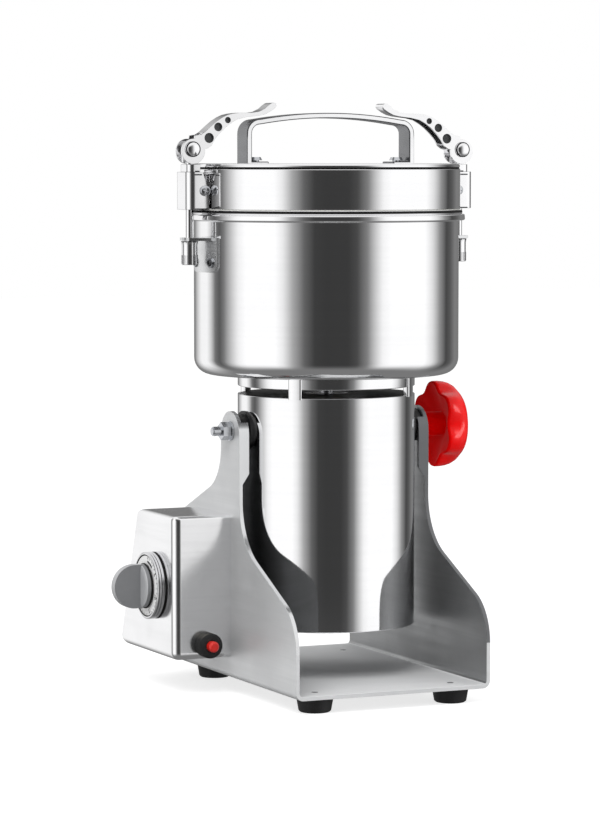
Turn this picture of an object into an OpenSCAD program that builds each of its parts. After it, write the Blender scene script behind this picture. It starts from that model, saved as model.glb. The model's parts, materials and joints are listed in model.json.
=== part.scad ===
// Electric grain mill. A closed steel bowl with its motor below hangs between two uprights and tilts to pour.
// Millimetres, +Z up. The bowl and motor axis is vertical, and the pivot runs along X. The feet stand at Z 0.

/* [Bowl] */
// Outer radius of the bowl
bowl_r = 85; // [76:1:92]
// Height of the bowl's straight side, from its floor to the collar band
bowl_h = 98.3; // [80:0.1:120]
// Thickness of the bowl's wall
bowl_wall = 1.5; // [1:0.1:3]
// Thickness of the bowl's floor
bowl_floor = 2; // [1.5:0.1:4]
// Outer radius of the bowl's bottom corner
bowl_corner = 10.5; // [6:0.5:14]
// Height of the collar band below the rim
band_h = 4; // [3:0.1:6]
// How far the collar band stands out from the wall
band_over = 4; // [2:0.1:5]
// Height of the rim bead above the band
bead_h = 3; // [2:0.1:4]

/* [Lid] */
// Height of the lid
lid_h = 29; // [27:0.5:36]
// How far the lid stands out from the bowl's wall
lid_over = 1; // [0.5:0.1:1.5]
// Thickness of the lid
lid_wall = 1.5; // [1:0.1:2.5]
// Radius of the lid's top edge
lid_corner = 4.5; // [3:0.5:5]
// Distance from the axis to the outside of the handle's legs
handle_x = 58.8; // [50:0.1:60]
// Height of the handle above the lid at its middle
handle_h = 33; // [30:0.5:36]
// Width of the handle's strip
handle_w = 16.4; // [13:0.1:22]
// Thickness of the handle's strip
handle_t = 3.4; // [2:0.1:4]

/* [Latches] */
// Distance from the bowl's wall to the axis of each latch rod
rod_out = 10; // [10:0.1:12]
// Diameter of the latch rod
rod_d = 5; // [4:0.1:5.4]
// Height of the swinging strap
strap_h = 23.6; // [22:0.2:25]
// Overall width of the swinging strap
strap_w = 22; // [18.6:0.1:24]
// Horizontal distance from the lever's pin to its tip
lever_reach = 57.6; // [54:0.2:60]
// Height of the lever's tip above its pin
lever_rise = 29.5; // [29:0.1:31]
// Width of the lever across its cheeks
lever_w = 11; // [10.6:0.1:13]
// Thickness of the lever's sheet
lever_t = 1.6; // [1.2:0.1:2]
// Mean radius of the lever's cam
cam_r = 7.9; // [7.6:0.1:8.2]
// Offset of the cam's centre from its pin
cam_off = 1.4; // [1.3:0.05:1.5]

/* [Motor] */
// Outer radius of the motor tube
motor_r = 57; // [52:0.5:60]
// Thickness of the motor tube
motor_wall = 1.5; // [1:0.1:2.5]
// Length of the motor tube below the pivot
tube_down = 126; // [115:1:140]
// Length of the motor tube above the pivot
tube_up = 22.4; // [20:0.2:30]
// Height of the vent gap below the neck ring
vent_h = 5.1; // [4:0.1:8]
// Height of the neck ring below the bowl
neck_h = 7.7; // [6:0.1:10]
// Diameter of the motor shaft
shaft_d = 10; // [8:0.5:11]
// Number of poles on the rotor's core
rotor_poles = 12; // [8:1:16]
// Number of blades on the cooling fan
fan_blades = 10; // [6:1:12]

/* [Blades] */
// Distance from the axis to the tip of a grinding blade
blade_r = 72; // [50:1:76]
// Width of a grinding blade at its middle
blade_w = 22; // [20:1:28]
// Thickness of a grinding blade
blade_t = 2.5; // [1.5:0.1:4]
// Height of the lower blade above the bowl's floor
blade_gap = 7; // [5:0.5:10]
// Length of the spacer between the blades
spacer_h = 14; // [10:0.5:20]

/* [Base] */
// Height of the pivot above the table
pivot_h = 169; // [165:1:185]
// Depth of the base from front to back
base_d = 202; // [190:1:220]
// Thickness of the base sheet
plate_t = 2.5; // [2:0.1:4]
// Gap between the motor tube and each upright
side_gap = 7.5; // [7:0.1:12]
// Outer radius of the bends between plate and uprights
bend_r = 5; // [4:0.1:8]
// Half width of the uprights' heads
head_w = 13.5; // [12.5:0.1:16]
// Depth of the inward lips on the front of the heads
lip_d = 7; // [4:0.1:7.1]
// Height of the rubber feet
foot_h = 9.5; // [7:0.1:14]
// Radius of the rubber feet at the top
foot_r = 11.7; // [9:0.1:14]

/* [Control box] */
// Width of the control box
box_w = 39.7; // [36:0.1:50]
// Height of the control box
box_h = 92; // [86:0.5:94]
// Height of the control box above the table
box_z = 23.5; // [22:0.5:28]
// Depth of the control box at its top
box_top_d = 64; // [58:0.5:68]
// Depth of the control box at its bottom
box_low_d = 97; // [90:0.5:98]
// Radius of the control box's edges
box_r = 4; // [2:0.5:5]
// Diameter of the timer's dial
dial_d = 43; // [40:0.5:48]
// Diameter of the timer's knob
knob_d = 28; // [24:0.5:32]
// How far the knob's fin stands out from its disc
fin_out = 14; // [10:0.5:16]

/* [Lock knob] */
// Diameter of the lock knob over its lobes
star_d = 56; // [48:0.5:60]
// Thickness of the lock knob's lobes
star_t = 16; // [12:0.5:20]
// Number of lobes on the lock knob
star_lobes = 6; // [5:1:7]

/* [Hidden] */

$fn = 64;
// One overrun for every cut
cut = 1;
// Clearance of a running fit, on the radius
run_fit = 0.06;
// Gap between flat faces of pieces that move past each other
face_gap = 0.2;
// Gap between parts that must stay clear of each other
part_gap = 0.3;

// Heights of the stack, from the pivot up
tube_top = pivot_h + tube_up;
tube_low = pivot_h - tube_down;
ring_z = tube_top + vent_h;
bowl_z = ring_z + neck_h;
band_z = bowl_z + bowl_h;
bead_z = band_z + band_h;
rim_z = bead_z + bead_h;
lid_z = rim_z + part_gap;
lid_top = lid_z + lid_h;
lid_r = bowl_r + lid_over;
bead_over = lid_over + bead_h / 2;

// Widths of the base, from the motor out
frame_in = motor_r + side_gap;
frame_out = frame_in + plate_t;
plate_z = foot_h;
plate_top = plate_z + plate_t;

// Sizes of the uprights' side outline: front half first, then the back
head_arch_drop = 2.3;
front_r = 40;
front_start = 44;
flare_angle = 65;
front_corner = 32;
back_r = 30;
back_start = 11;
// The heads are wider behind the pivot than in front of it
back_over = 2.5;
back_w = head_w + back_over;
back_angle = 68;
back_corner = 16;
lip_full = 21.5;
lip_end = 34;

// Control box, timer and breaker
box_x = frame_out + box_w;
box_front = 1;
box_back_r = 9;
dial_t = 6;
dial_y = 32.5;
dial_z = 68.5;
dial_groove_share = 0.43;
dial_groove_r = dial_groove_share * dial_d;
groove_w = 1.2;
groove_t = 0.6;
knob_disc_t = 8;
knob_gap = 0.3;
knob_foot_t = 2.5;
knob_foot_over = 0.7;
fin_w = 6;
timer_r = 17;
timer_l = 22;
timer_shaft_r = 3;
// Length of the timer's shaft inside its knob
timer_shaft_in = 6;
timer_shaft_l = dial_t + knob_gap + timer_shaft_in;
boot_x = 84.5;
boot_z = 33;
boot_r = 8;
boot_l = 9;
boot_lip_r = 6;
boot_lip_l = 1.2;
breaker_r = 6.5;
breaker_l = 24;
button_r = 3.5;
button_out = 5;
button_travel = 3;
button_in = 7;
bush_r = 7;
bush_bore_r = 3.5;
bush_lip = 1.5;
bush_out = 3;
bush_in = 6;
bush_y = 70;
bush_x = frame_out + box_w / 2;
grommet_y = 34;
grommet_z = 95;
grommet_r = 6;
grommet_bore_r = 3.2;
grommet_lip = 2;
grommet_t = 1.4;
screw_r = 2;
screw_head_r = 4;
screw_head_t = 1.8;
screw_l = 9;
// Places of the box screws on the left upright, each a depth and a height
box_screw_y = 16;
box_screw_back_y = 78;
box_screw_low_z = 34;
box_screw_high_z = 84;

// Feet
foot_x = 47;
// How far the feet stand in from the front and from the back edge
foot_front_inset = 16;
foot_back_inset = 27;
foot_front_y = -base_d / 2 + foot_front_inset;
foot_back_y = base_d / 2 - foot_back_inset;
foot_taper = 1.5;
foot_bore_r = 2.2;
foot_sink_r = 5;
foot_sink_h = 5;
foot_edge = 1;
foot_screw_r = foot_bore_r - face_gap;
foot_head_t = 2.6;

// Motor
bottom_t = 6;
bottom_lip = 2;
bottom_vent_share = 0.62;
bottom_vent_r = bottom_vent_share * motor_r;
bottom_vent_w = 4;
bottom_vent_l = 11;
bottom_vents = 16;
seat_r = 17;
seat_h = 9;
bearing_h = 9;
bearing_r = 14;
bearing_race = 3.6;
top_t = 3;
top_seat_h = 6;
neck_in_r = 42;
neck_over = 0.8;
post_w = 9;
post_in = 4;
boss_gap = 0.5;
boss_r = head_w - plate_t - boss_gap;
boss_flange_r = 12.5;
boss_flange_t = 3;
// Height of the stator above the tube's lower end
stator_up = 46;
stator_z = tube_low + stator_up;
stator_h = 50;
stator_in_r = 25;
stator_back = 11;
pole_w = 26;
winding_h = 12;
winding_in_r = 28;
winding_t = 11;
air_gap = 0.8;
rotor_r = stator_in_r - air_gap;
rotor_slot_r = 1.8;
rotor_slot_in = 3;
comm_r = 14;
comm_h = 13;
comm_gap = 1;
comm_z = stator_z - winding_h - comm_h - comm_gap;
comm_bars = 12;
comm_slot = 0.8;
brush_w = 6;
brush_h = 8;
brush_l = 13;
holder_wall = 1.5;
holder_l = 22;
fan_r = 44;
fan_hub_r = 12;
fan_gap = 10;
fan_z = stator_z + stator_h + winding_h + fan_gap;
fan_t = 1.6;
fan_h = 9;
fan_blade_t = 1.6;
shaft_r = shaft_d / 2;
shaft_up = 4;
shaft_low = tube_low + shaft_up;

// Shaft end and blades
blade_z = bowl_z + bowl_floor + blade_gap;
upper_blade_z = blade_z + blade_t + spacer_h;
hub_r = 10.5;
seal_r = 13;
seal_lip = 3;
seal_t = 4;
seal_below = 1.5;
nut_h = 9;
nut_r = 8.5;
nut_round_h = 4;
blade_tip_share = 0.36;
blade_shoulder_share = 0.62;
upper_blade_share = 0.9;

// Latch, measured from the rod's axis and the swing axis
rod_x = bowl_r + rod_out;
rod_r = rod_d / 2;
swing_out = 4;
swing_x = bowl_r + swing_out;
swing_z = lid_z + strap_h / 2;
strap_t = 1.5;
strap_room = 1.2;
strap_x = rod_x + rod_r + part_gap + strap_t + strap_room;
strap_in = lid_r + part_gap;
// Width of the strap's lips inside the rod
strap_lip_in = 2.1;
strap_top_in = rod_x - rod_r - strap_lip_in;
strap_top = lid_z + strap_h;
strap_corner = 5;
ear_t = 2;
ear_gap = 0.4;
ear_r = 4;
ear_h = 11;
ear_w = strap_w - 2 * strap_t - 2 * ear_gap;
swing_r = 1.6;
swing_head_r = 3.4;
swing_head_t = 1.6;
saddle_h = 4.8;
saddle_wall = 1.6;
saddle_in = rod_x - rod_r - saddle_wall;
saddle_step = 1.6;
saddle_out = strap_x - saddle_step;
saddle_w = 16;
saddle_round = 4;
cam_angle = 20;
cam_low = cam_r + cam_off * cos(cam_angle);
pin_z = strap_top + saddle_h + part_gap + cam_low;
pin_r = 2.4;
pin_head_r = 4.7;
pin_head_t = 1.5;
eye_r = 5.4;
eye_w = lever_w - 2 * lever_t - 2 * face_gap;
eye_clear = eye_r + part_gap;
// Outline of the lever, as shares of its reach and its rise, from the pin over the top to the tip and back
lever_top_shares = [
    [0.03, 0.29], [0.1, 0.31], [0.15, 0.37], [0.21, 0.475], [0.29, 0.6], [0.36, 0.685], [0.42, 0.735],
    [0.48, 0.762], [0.56, 0.78], [0.7, 0.782], [0.79, 0.806], [0.86, 0.87], [0.91, 0.95], [0.945, 0.993]
];
lever_tip_shares = [[0.97, 1], [0.995, 0.975], [1, 0.93], [0.985, 0.885]];
lever_low_shares = [
    [0.93, 0.815], [0.87, 0.757], [0.8, 0.725], [0.72, 0.706], [0.64, 0.69], [0.535, 0.645], [0.46, 0.565],
    [0.395, 0.475], [0.32, 0.34], [0.26, 0.2], [0.225, 0.08], [0.18, 0.02], [0.14, 0]
];
lever_web_end_share = 0.82;
// Place on the top outline where the web starts
lever_web_start_shares = [0.14, 0.358];
// Holes in each cheek, as shares of the reach and the rise, with the radius as a share of the eye's
lever_hole_shares = [[0.195, 0.24, 0.58], [0.303, 0.475, 0.5], [0.418, 0.622, 0.36]];
catch_t = 1.5;
catch_h = 21.8;
catch_drop = 10.5;
catch_half_angle = 12;
catch_corner = 5;
catch_out = 13.5;
catch_root_w = 24;
catch_tip_w = 15;
catch_slot_gap = 0.7;
catch_slot_w = 2 * (rod_r + catch_slot_gap);
catch_top = band_z - catch_drop;
catch_flange_t = 1.8;
catch_hole_angle = 8;
rivet_r = 2;
rivet_head_r = 3.2;
rivet_head_t = 1;
rivet_drop_share = 0.72;
rivet_z = catch_top - rivet_drop_share * catch_h;
rod_nut_top = catch_top - catch_flange_t - part_gap;
rod_nut_flare_r = 5.5;
rod_nut_flare_h = 2.4;
rod_nut_r = 5;
rod_nut_h = 12.5;
rod_nut_low = rod_nut_top - rod_nut_flare_h - rod_nut_h;

// Lid
gasket_w = 4;
gasket_h = 5;
handle_sag = 4.2;
handle_corner = 9;
handle_foot = 15;
handle_foot_t = 2;
handle_screw_r = 2.5;
// Place of the handle's screws, as a share of the foot's length
handle_screw_share = 0.6;
handle_head_r = 4.5;
handle_head_t = 2;

// Pivot and lock knob
bolt_r = 3;
bolt_out = 13;
nut_af = 10;
pivot_nut_t = 5.5;
washer_r = 6.2;
washer_t = 1.2;
stud_r = 4;
star_hub_r = 11;
star_hub_l = 8;
star_gap = 1;
star_x = frame_out + star_gap + star_hub_l;
star_round = 6;
// Valleys between the lobes: their radius behind and in front, and how far out they lie
star_valley_back_share = 0.34;
star_valley_front_share = 0.25;
star_valley_place_share = 1.22;
star_dish_share = 0.8;
star_wall = 6;
// Reach of the stud into the lock knob, as a share of the lobes' thickness
stud_share = 0.6;
stud_end = star_x + stud_share * star_t;

// The overall reach on each side sets the place of the bowl's axis
reach_left = box_x + dial_t + knob_gap + knob_disc_t + fin_out;
reach_right = max(strap_x, rod_x - cam_off * sin(cam_angle) + cam_r);
axis_x = (reach_left - reach_right) / 2;

// Points of an arc about a centre
function arc(c, r, a0, a1, n = 10) = [for (i = [0 : n]) let (a = a0 + (a1 - a0) * i / n) c + r * [cos(a),
    sin(a)]];

module at_axis() { translate([axis_x, 0, 0]) children(); }
module along_x() { rotate([0, 90, 0]) children(); }
module along_y() { rotate([-90, 0, 0]) children(); }
// Outline in X and Z, made solid along Y about its middle
module slab_y(w) { rotate([90, 0, 0]) linear_extrude(w, center = true) children(); }
// Outline in Y and Z, made solid from x0 to x1
module slab_x(x0, x1) { translate([x0, 0, 0]) rotate([90, 0, 90]) linear_extrude(x1 - x0) children(); }
module ring(r_out, r_in, h) {
    difference() {
        cylinder(r = r_out, h = h);
        translate([0, 0, -cut]) cylinder(r = r_in, h = h + 2 * cut);
    }
}
module left_side() { mirror([1, 0, 0]) children(); }
module each_side() { children(); left_side() children(); }

// Side outline of an upright, in Y and Z
module upright_outline() {
    zf = pivot_h - front_start;
    zb = pivot_h - back_start;
    yf = base_d / 2;
    fx = -head_w - front_r;
    fe = [fx + front_r * cos(flare_angle), zf - front_r * sin(flare_angle)];
    f_slope = tan(90 - flare_angle);
    f_low = fe[1] - (yf + fe[0]) * f_slope - front_corner * tan(flare_angle / 2);
    bx = back_w + back_r;
    be = [bx - back_r * cos(back_angle), zb - back_r * sin(back_angle)];
    b_slope = tan(90 - back_angle);
    b_low = be[1] - (yf - be[0]) * b_slope - back_corner * tan(back_angle / 2);
    arch_r = (head_w + back_w) / 2;
    arch_y = (back_w - head_w) / 2;
    polygon(concat(
        [[-yf, plate_z - cut]],
        arc([-yf + front_corner, f_low], front_corner, 180, 180 - flare_angle),
        arc([fx, zf], front_r, -flare_angle, 0, 14),
        arc([arch_y, pivot_h - head_arch_drop], arch_r, 180, 0, 24),
        arc([bx, zb], back_r, 180, 180 + back_angle, 14),
        arc([yf - back_corner, b_low], back_corner, back_angle, 0),
        [[yf, plate_z - cut]]
    ));
}
// Cross-section of the bent sheet, in X and Z
module bent_section(half, low, r, high) {
    translate([-half, low + r]) square([2 * half, high - low - r]);
    translate([-half + r, low]) square([2 * (half - r), high - low]);
    for (s = [-1, 1]) translate([s * (half - r), low + r]) circle(r);
}
module front_lip() {
    // The lip follows the head's front edge and fades out below
    difference() {
        intersection() {
            slab_x(frame_in - lip_d + plate_t, frame_in + cut) upright_outline();
            translate([0, -head_w - cut, pivot_h - lip_end])
                cube([frame_out, plate_t + cut, lip_end + head_w]);
        }
        // The lower end is cut at a slant
        slab_y(4 * head_w) polygon([
            [frame_in - lip_d - cut, pivot_h - lip_end - cut], [frame_in + cut, pivot_h - lip_end - cut],
            [frame_in - lip_d - cut, pivot_h - lip_full]
        ]);
    }
}
module base_frame() {
    color([0.74, 0.74, 0.73]) at_axis() difference() {
        union() {
            intersection() {
                rotate([90, 0, 0]) linear_extrude(base_d + cut, center = true) difference() {
                    bent_section(frame_out, plate_z, bend_r, pivot_h + 2 * head_w);
                    bent_section(frame_in, plate_top, bend_r - plate_t, pivot_h + 2 * head_w + cut);
                }
                slab_x(-frame_out - cut, frame_out + cut) upright_outline();
            }
            each_side() front_lip();
        }
        translate([-frame_out - cut, 0, pivot_h]) along_x()
            cylinder(r = bolt_r + run_fit, h = plate_t + 2 * cut);
        translate([frame_in - cut, 0, pivot_h]) along_x()
            cylinder(r = stud_r + run_fit, h = plate_t + 2 * cut);
        for (x = [-foot_x, foot_x], y = [foot_front_y, foot_back_y])
            translate([x, y, plate_z - cut]) cylinder(r = foot_bore_r, h = plate_t + 2 * cut);
        translate([-frame_out - cut, grommet_y, grommet_z]) along_x()
            cylinder(r = grommet_r, h = plate_t + 2 * cut);
        box_screw_places() translate([-frame_out - cut, 0, 0]) along_x()
            cylinder(r = screw_r + run_fit, h = plate_t + 2 * cut);
    }
}
module box_screw_places() {
    for (p = [[box_screw_y, box_screw_low_z], [box_screw_back_y, box_screw_low_z],
        [box_screw_y, box_screw_high_z]])
        translate([0, p[0], p[1]]) children();
}
module each_foot() {
    for (x = [-foot_x, foot_x], y = [foot_front_y, foot_back_y]) translate([x, y, 0]) children();
}
module rubber_feet() {
    color([0.06, 0.06, 0.06]) at_axis() each_foot() rotate_extrude() polygon([
        [foot_sink_r, 0], [foot_r - foot_taper - foot_edge, 0], [foot_r - foot_taper, foot_edge],
        [foot_r, foot_h],
        [foot_bore_r, foot_h], [foot_bore_r, foot_sink_h], [foot_sink_r, foot_sink_h]
    ]);
}
module foot_screws() {
    color([0.6, 0.6, 0.6]) at_axis() each_foot() {
        translate([0, 0, foot_sink_h - foot_head_t]) cylinder(r = foot_sink_r - foot_edge, h = foot_head_t);
        translate([0, 0, foot_sink_h - foot_head_t])
            cylinder(r = foot_screw_r, h = plate_top - foot_sink_h + foot_head_t);
    }
}

// Control box
module box_outline() {
    z0 = box_z;
    z1 = box_z + box_h;
    y0 = -box_front;
    slope = (box_low_d - box_top_d) / box_h;
    lean = atan(slope);
    y1 = box_top_d - box_front;
    y2 = box_low_d - box_front;
    r = box_r;
    rb = box_back_r;
    tb = rb * tan((90 + lean) / 2);
    tt = r * tan((90 - lean) / 2);
    polygon(concat(
        arc([y0 + r, z0 + r], r, 180, 270, 6),
        arc([y2 - tb, z0 + rb], rb, 270, 360 + lean, 8),
        arc([y1 - tt, z1 - r], r, lean, 90, 6),
        arc([y0 + r, z1 - r], r, 90, 180, 6)
    ));
}
// Corner rounding of the outer face: a rounded edge at one end of a long rectangle
module rounded_end(x0, w0, w1, both) {
    translate([x0 + box_r, w0]) square([box_w, w1 - w0]);
    translate([x0, w0 + box_r]) square([box_w, w1 - w0 - (both ? 2 : 1) * box_r]);
    translate([x0 + box_r, w0 + box_r]) circle(box_r);
    if (both) translate([x0 + box_r, w1 - box_r]) circle(box_r);
}
module control_box() {
    color([0.8, 0.8, 0.8]) at_axis() difference() {
        intersection() {
            slab_x(-box_x - cut, -frame_out) box_outline();
            // Rounded along the top and bottom of the outer face
            slab_y(2 * box_low_d) rounded_end(-box_x, box_z, box_z + box_h, true);
            // Rounded along the front of the outer face
            translate([0, 0, box_z - cut]) linear_extrude(box_h + 2 * cut)
                rounded_end(-box_x, -box_front, box_low_d, false);
        }
        translate([-box_x - cut, dial_y, dial_z]) along_x() cylinder(r = timer_shaft_r + cut, h = box_w);
        translate([-box_x + 2 * plate_t, dial_y, dial_z]) along_x() cylinder(r = timer_r, h = timer_l);
        translate([-boot_x, -box_front - cut, boot_z]) along_y() cylinder(r = breaker_r, h = breaker_l + cut);
        translate([-bush_x, bush_y, box_z - cut]) cylinder(r = bush_r - bush_lip, h = bush_in + cut);
        translate([-frame_out - grommet_lip - cut, grommet_y, grommet_z]) along_x()
            cylinder(r = grommet_r + grommet_lip, h = grommet_lip + 2 * cut);
        box_screw_places() translate([-frame_out - screw_l, 0, 0]) along_x()
            cylinder(r = screw_r, h = screw_l + cut);
    }
}
module box_screws() {
    color([0.7, 0.7, 0.7]) at_axis() box_screw_places() {
        translate([-frame_in, 0, 0]) along_x() cylinder(r = screw_head_r, h = screw_head_t);
        translate([-frame_out - screw_l, 0, 0]) along_x() cylinder(r = screw_r, h = screw_l + plate_t);
    }
}
module lead_grommet() {
    color([0.08, 0.08, 0.08]) at_axis() translate([-frame_out - grommet_t, grommet_y, grommet_z]) along_x()
        rotate_extrude() polygon([
            [grommet_bore_r, 0], [grommet_r + grommet_lip, 0], [grommet_r + grommet_lip, grommet_t],
            [grommet_r, grommet_t], [grommet_r, grommet_t + plate_t],
            [grommet_r + grommet_lip, grommet_t + plate_t],
            [grommet_r + grommet_lip, 2 * grommet_t + plate_t], [grommet_bore_r, 2 * grommet_t + plate_t]
        ]);
}
module mains_bush() {
    color([0.08, 0.08, 0.08]) at_axis() translate([-bush_x, bush_y, box_z - bush_out])
        rotate_extrude() polygon([
        [bush_bore_r, 0], [bush_r, 0], [bush_r, bush_out], [bush_r - bush_lip, bush_out],
        [bush_r - bush_lip, bush_out + bush_in], [bush_bore_r, bush_out + bush_in]
    ]);
}
module timer_dial() {
    color([0.93, 0.93, 0.93]) at_axis() translate([-box_x, dial_y, dial_z])
        rotate([0, -90, 0]) rotate_extrude()
        difference() {
            polygon([
                [timer_shaft_r + cut, 0], [dial_d / 2, 0], [dial_d / 2, dial_t - groove_t],
                [dial_d / 2 - groove_t, dial_t], [timer_shaft_r + cut, dial_t]
            ]);
            translate([dial_groove_r, dial_t - groove_t]) square([groove_w, groove_t + cut]);
        }
}
module timer_body() {
    color([0.2, 0.2, 0.2]) at_axis() translate([-box_x + 2 * plate_t, dial_y, dial_z]) {
        along_x() cylinder(r = timer_r, h = timer_l);
        translate([-2 * plate_t - timer_shaft_l, 0, 0]) along_x()
            cylinder(r = timer_shaft_r, h = timer_shaft_l + 3 * plate_t);
    }
}
module timer_knob() {
    x0 = -box_x - dial_t - knob_gap;
    color([0.62, 0.63, 0.65]) at_axis() difference() {
        translate([x0, dial_y, dial_z]) {
            rotate([0, -90, 0]) {
                cylinder(r = knob_d / 2 + knob_foot_over, h = knob_foot_t);
                cylinder(r = knob_d / 2, h = knob_disc_t);
            }
            intersection() {
                translate([-knob_disc_t, 0, 0]) along_y() scale([2 * fin_out / knob_d, 1, 1])
                    translate([0, 0, -fin_w / 2]) cylinder(r = knob_d / 2, h = fin_w);
                translate([-knob_disc_t - fin_out - cut, -fin_w, -knob_d])
                    cube([fin_out + knob_disc_t, 2 * fin_w, 2 * knob_d]);
            }
        }
        translate([-box_x - timer_shaft_l - part_gap, dial_y, dial_z]) along_x()
            cylinder(r = timer_shaft_r + run_fit, h = timer_shaft_l + cut);
    }
}
module breaker_body() {
    color([0.15, 0.15, 0.15]) at_axis() translate([-boot_x, -box_front, boot_z]) along_y() difference() {
        cylinder(r = breaker_r, h = breaker_l);
        translate([0, 0, -cut]) cylinder(r = button_r + run_fit, h = button_in + button_travel + 2 * cut);
    }
}
module breaker_boot() {
    color([0.08, 0.08, 0.08]) at_axis() translate([-boot_x, -box_front, boot_z]) rotate([90, 0, 0])
        rotate_extrude() polygon([
            [button_r + run_fit, 0], [boot_r, 0], [boot_r, boot_l - boot_lip_l], [boot_lip_r, boot_l],
            [button_r + run_fit, boot_l]
        ]);
}
module reset_button() {
    color([0.85, 0.12, 0.08]) at_axis() translate([-boot_x, -box_front + button_in, boot_z])
        rotate([90, 0, 0]) {
        cylinder(r = button_r, h = button_in + boot_l + button_out - groove_w);
        translate([0, 0, button_in + boot_l + button_out - groove_w])
            cylinder(r1 = button_r, r2 = button_r - groove_w, h = groove_w);
    }
}

// Motor
module motor_housing() {
    color([0.85, 0.85, 0.85]) at_axis() difference() {
        translate([0, 0, tube_low]) ring(motor_r, motor_r - motor_wall, tube_down + tube_up);
        translate([-motor_r - cut, 0, pivot_h]) along_x() cylinder(r = bolt_r, h = motor_r);
        translate([cut, 0, pivot_h]) along_x() cylinder(r = stud_r, h = motor_r);
    }
}
module motor_bottom_cover() {
    color([0.7, 0.7, 0.7]) at_axis() translate([0, 0, tube_low]) difference() {
        union() {
            cylinder(r = motor_r - motor_wall, h = bottom_t);
            cylinder(r = seat_r, h = bottom_t + seat_h);
        }
        translate([0, 0, bottom_t]) cylinder(r = bearing_r, h = seat_h + cut);
        translate([0, 0, bottom_lip]) cylinder(r = shaft_r + cut, h = bottom_t);
        for (i = [0 : bottom_vents - 1]) rotate([0, 0, 360 * i / bottom_vents])
            translate([bottom_vent_r - bottom_vent_l / 2, -bottom_vent_w / 2, -cut])
                cube([bottom_vent_l, bottom_vent_w, bottom_t + 2 * cut]);
    }
}
module motor_top_plate() {
    color([0.25, 0.25, 0.25]) at_axis() translate([0, 0, tube_top - top_t]) difference() {
        union() {
            cylinder(r = motor_r - motor_wall, h = top_t);
            translate([0, 0, -top_seat_h]) cylinder(r = seat_r, h = top_seat_h);
        }
        translate([0, 0, -top_seat_h - cut]) cylinder(r = bearing_r, h = bearing_h + cut);
        cylinder(r = shaft_r + cut, h = top_t + cut);
    }
}
module neck_ring() {
    color([0.9, 0.9, 0.9]) at_axis() {
        difference() {
            union() {
                translate([0, 0, ring_z]) cylinder(r = motor_r, h = neck_h);
                for (i = [0 : 3]) rotate([0, 0, 45 + 90 * i])
                    translate([motor_r + neck_over - post_in, -post_w / 2, tube_top])
                        cube([post_in, post_w, vent_h + neck_h]);
            }
            translate([0, 0, ring_z - cut]) cylinder(r = neck_in_r, h = neck_h + 2 * cut);
        }
    }
}
module trunnion_bosses() {
    color([0.75, 0.75, 0.75]) at_axis() difference() {
        for (m = [0, 1]) mirror([m, 0, 0]) translate([0, 0, pivot_h]) along_x() {
            cylinder(r = boss_r, h = frame_in - face_gap);
            cylinder(r = boss_flange_r, h = motor_r + boss_flange_t / 2);
        }
        translate([0, 0, tube_low]) cylinder(r = motor_r, h = 2 * tube_down);
        translate([-frame_in, 0, pivot_h]) along_x() cylinder(r = bolt_r, h = frame_in);
        translate([0, 0, pivot_h]) along_x() cylinder(r = stud_r, h = frame_in);
    }
}
module stator_core() {
    r = motor_r - motor_wall;
    color([0.45, 0.45, 0.47]) at_axis() translate([0, 0, stator_z]) linear_extrude(stator_h) difference() {
        union() {
            difference() { circle(r); circle(r - stator_back); }
            intersection() {
                square([2 * r - stator_back, pole_w], center = true);
                circle(r - stator_back / 2);
            }
        }
        circle(stator_in_r);
    }
}
module stator_windings() {
    color([0.72, 0.4, 0.2]) at_axis() for (z = [stator_z - winding_h, stator_z + stator_h])
        translate([0, 0, z])
        ring(winding_in_r + winding_t, winding_in_r, winding_h);
}
module brush_holders() {
    z = comm_z + comm_h / 2;
    color([0.75, 0.6, 0.3]) at_axis() for (s = [0, 1]) rotate([0, 0, 180 * s])
        translate([comm_r + holder_wall, 0, z])
        difference() {
            translate([0, -brush_w / 2 - holder_wall, -brush_h / 2 - holder_wall])
                cube([holder_l, brush_w + 2 * holder_wall, brush_h + 2 * holder_wall]);
            translate([-cut, -brush_w / 2, -brush_h / 2])
                cube([holder_l - holder_wall + cut, brush_w, brush_h]);
        }
}
module carbon_brushes() {
    z = comm_z + comm_h / 2;
    color([0.1, 0.1, 0.1]) at_axis() for (s = [0, 1]) rotate([0, 0, 180 * s])
        translate([comm_r + part_gap, -brush_w / 2, z - brush_h / 2]) cube([brush_l, brush_w, brush_h]);
}
module bearing_at(z) {
    translate([0, 0, z]) {
        ring(bearing_r, bearing_r - bearing_race, bearing_h);
        ring(shaft_r + bearing_race, shaft_r + run_fit, bearing_h);
        translate([0, 0, bearing_race / 2])
            ring(bearing_r - bearing_race, shaft_r + bearing_race, bearing_h - bearing_race);
    }
}
module upper_bearing() { color([0.7, 0.7, 0.72]) at_axis() bearing_at(tube_top - top_t - top_seat_h); }
module lower_bearing() { color([0.7, 0.7, 0.72]) at_axis() bearing_at(tube_low + bottom_t); }
module motor_shaft() {
    color([0.7, 0.7, 0.7]) at_axis() {
        translate([0, 0, shaft_low])
            cylinder(r = shaft_r, h = upper_blade_z + blade_t + nut_h - nut_round_h - shaft_low);
        // Shoulder that carries the lower blade
        translate([0, 0, blade_z - blade_gap + seal_t + part_gap])
            cylinder(r = hub_r, h = blade_gap - seal_t - part_gap);
    }
}
module rotor_core() {
    color([0.5, 0.5, 0.52]) at_axis() translate([0, 0, stator_z]) linear_extrude(stator_h) difference() {
        circle(rotor_r);
        circle(shaft_r);
        for (i = [0 : rotor_poles - 1]) rotate(360 * i / rotor_poles) {
            translate([rotor_r - rotor_slot_in, 0]) circle(rotor_slot_r);
            translate([rotor_r - rotor_slot_in, -rotor_slot_r / 2])
                square([rotor_slot_in + cut, rotor_slot_r]);
        }
    }
}
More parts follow.
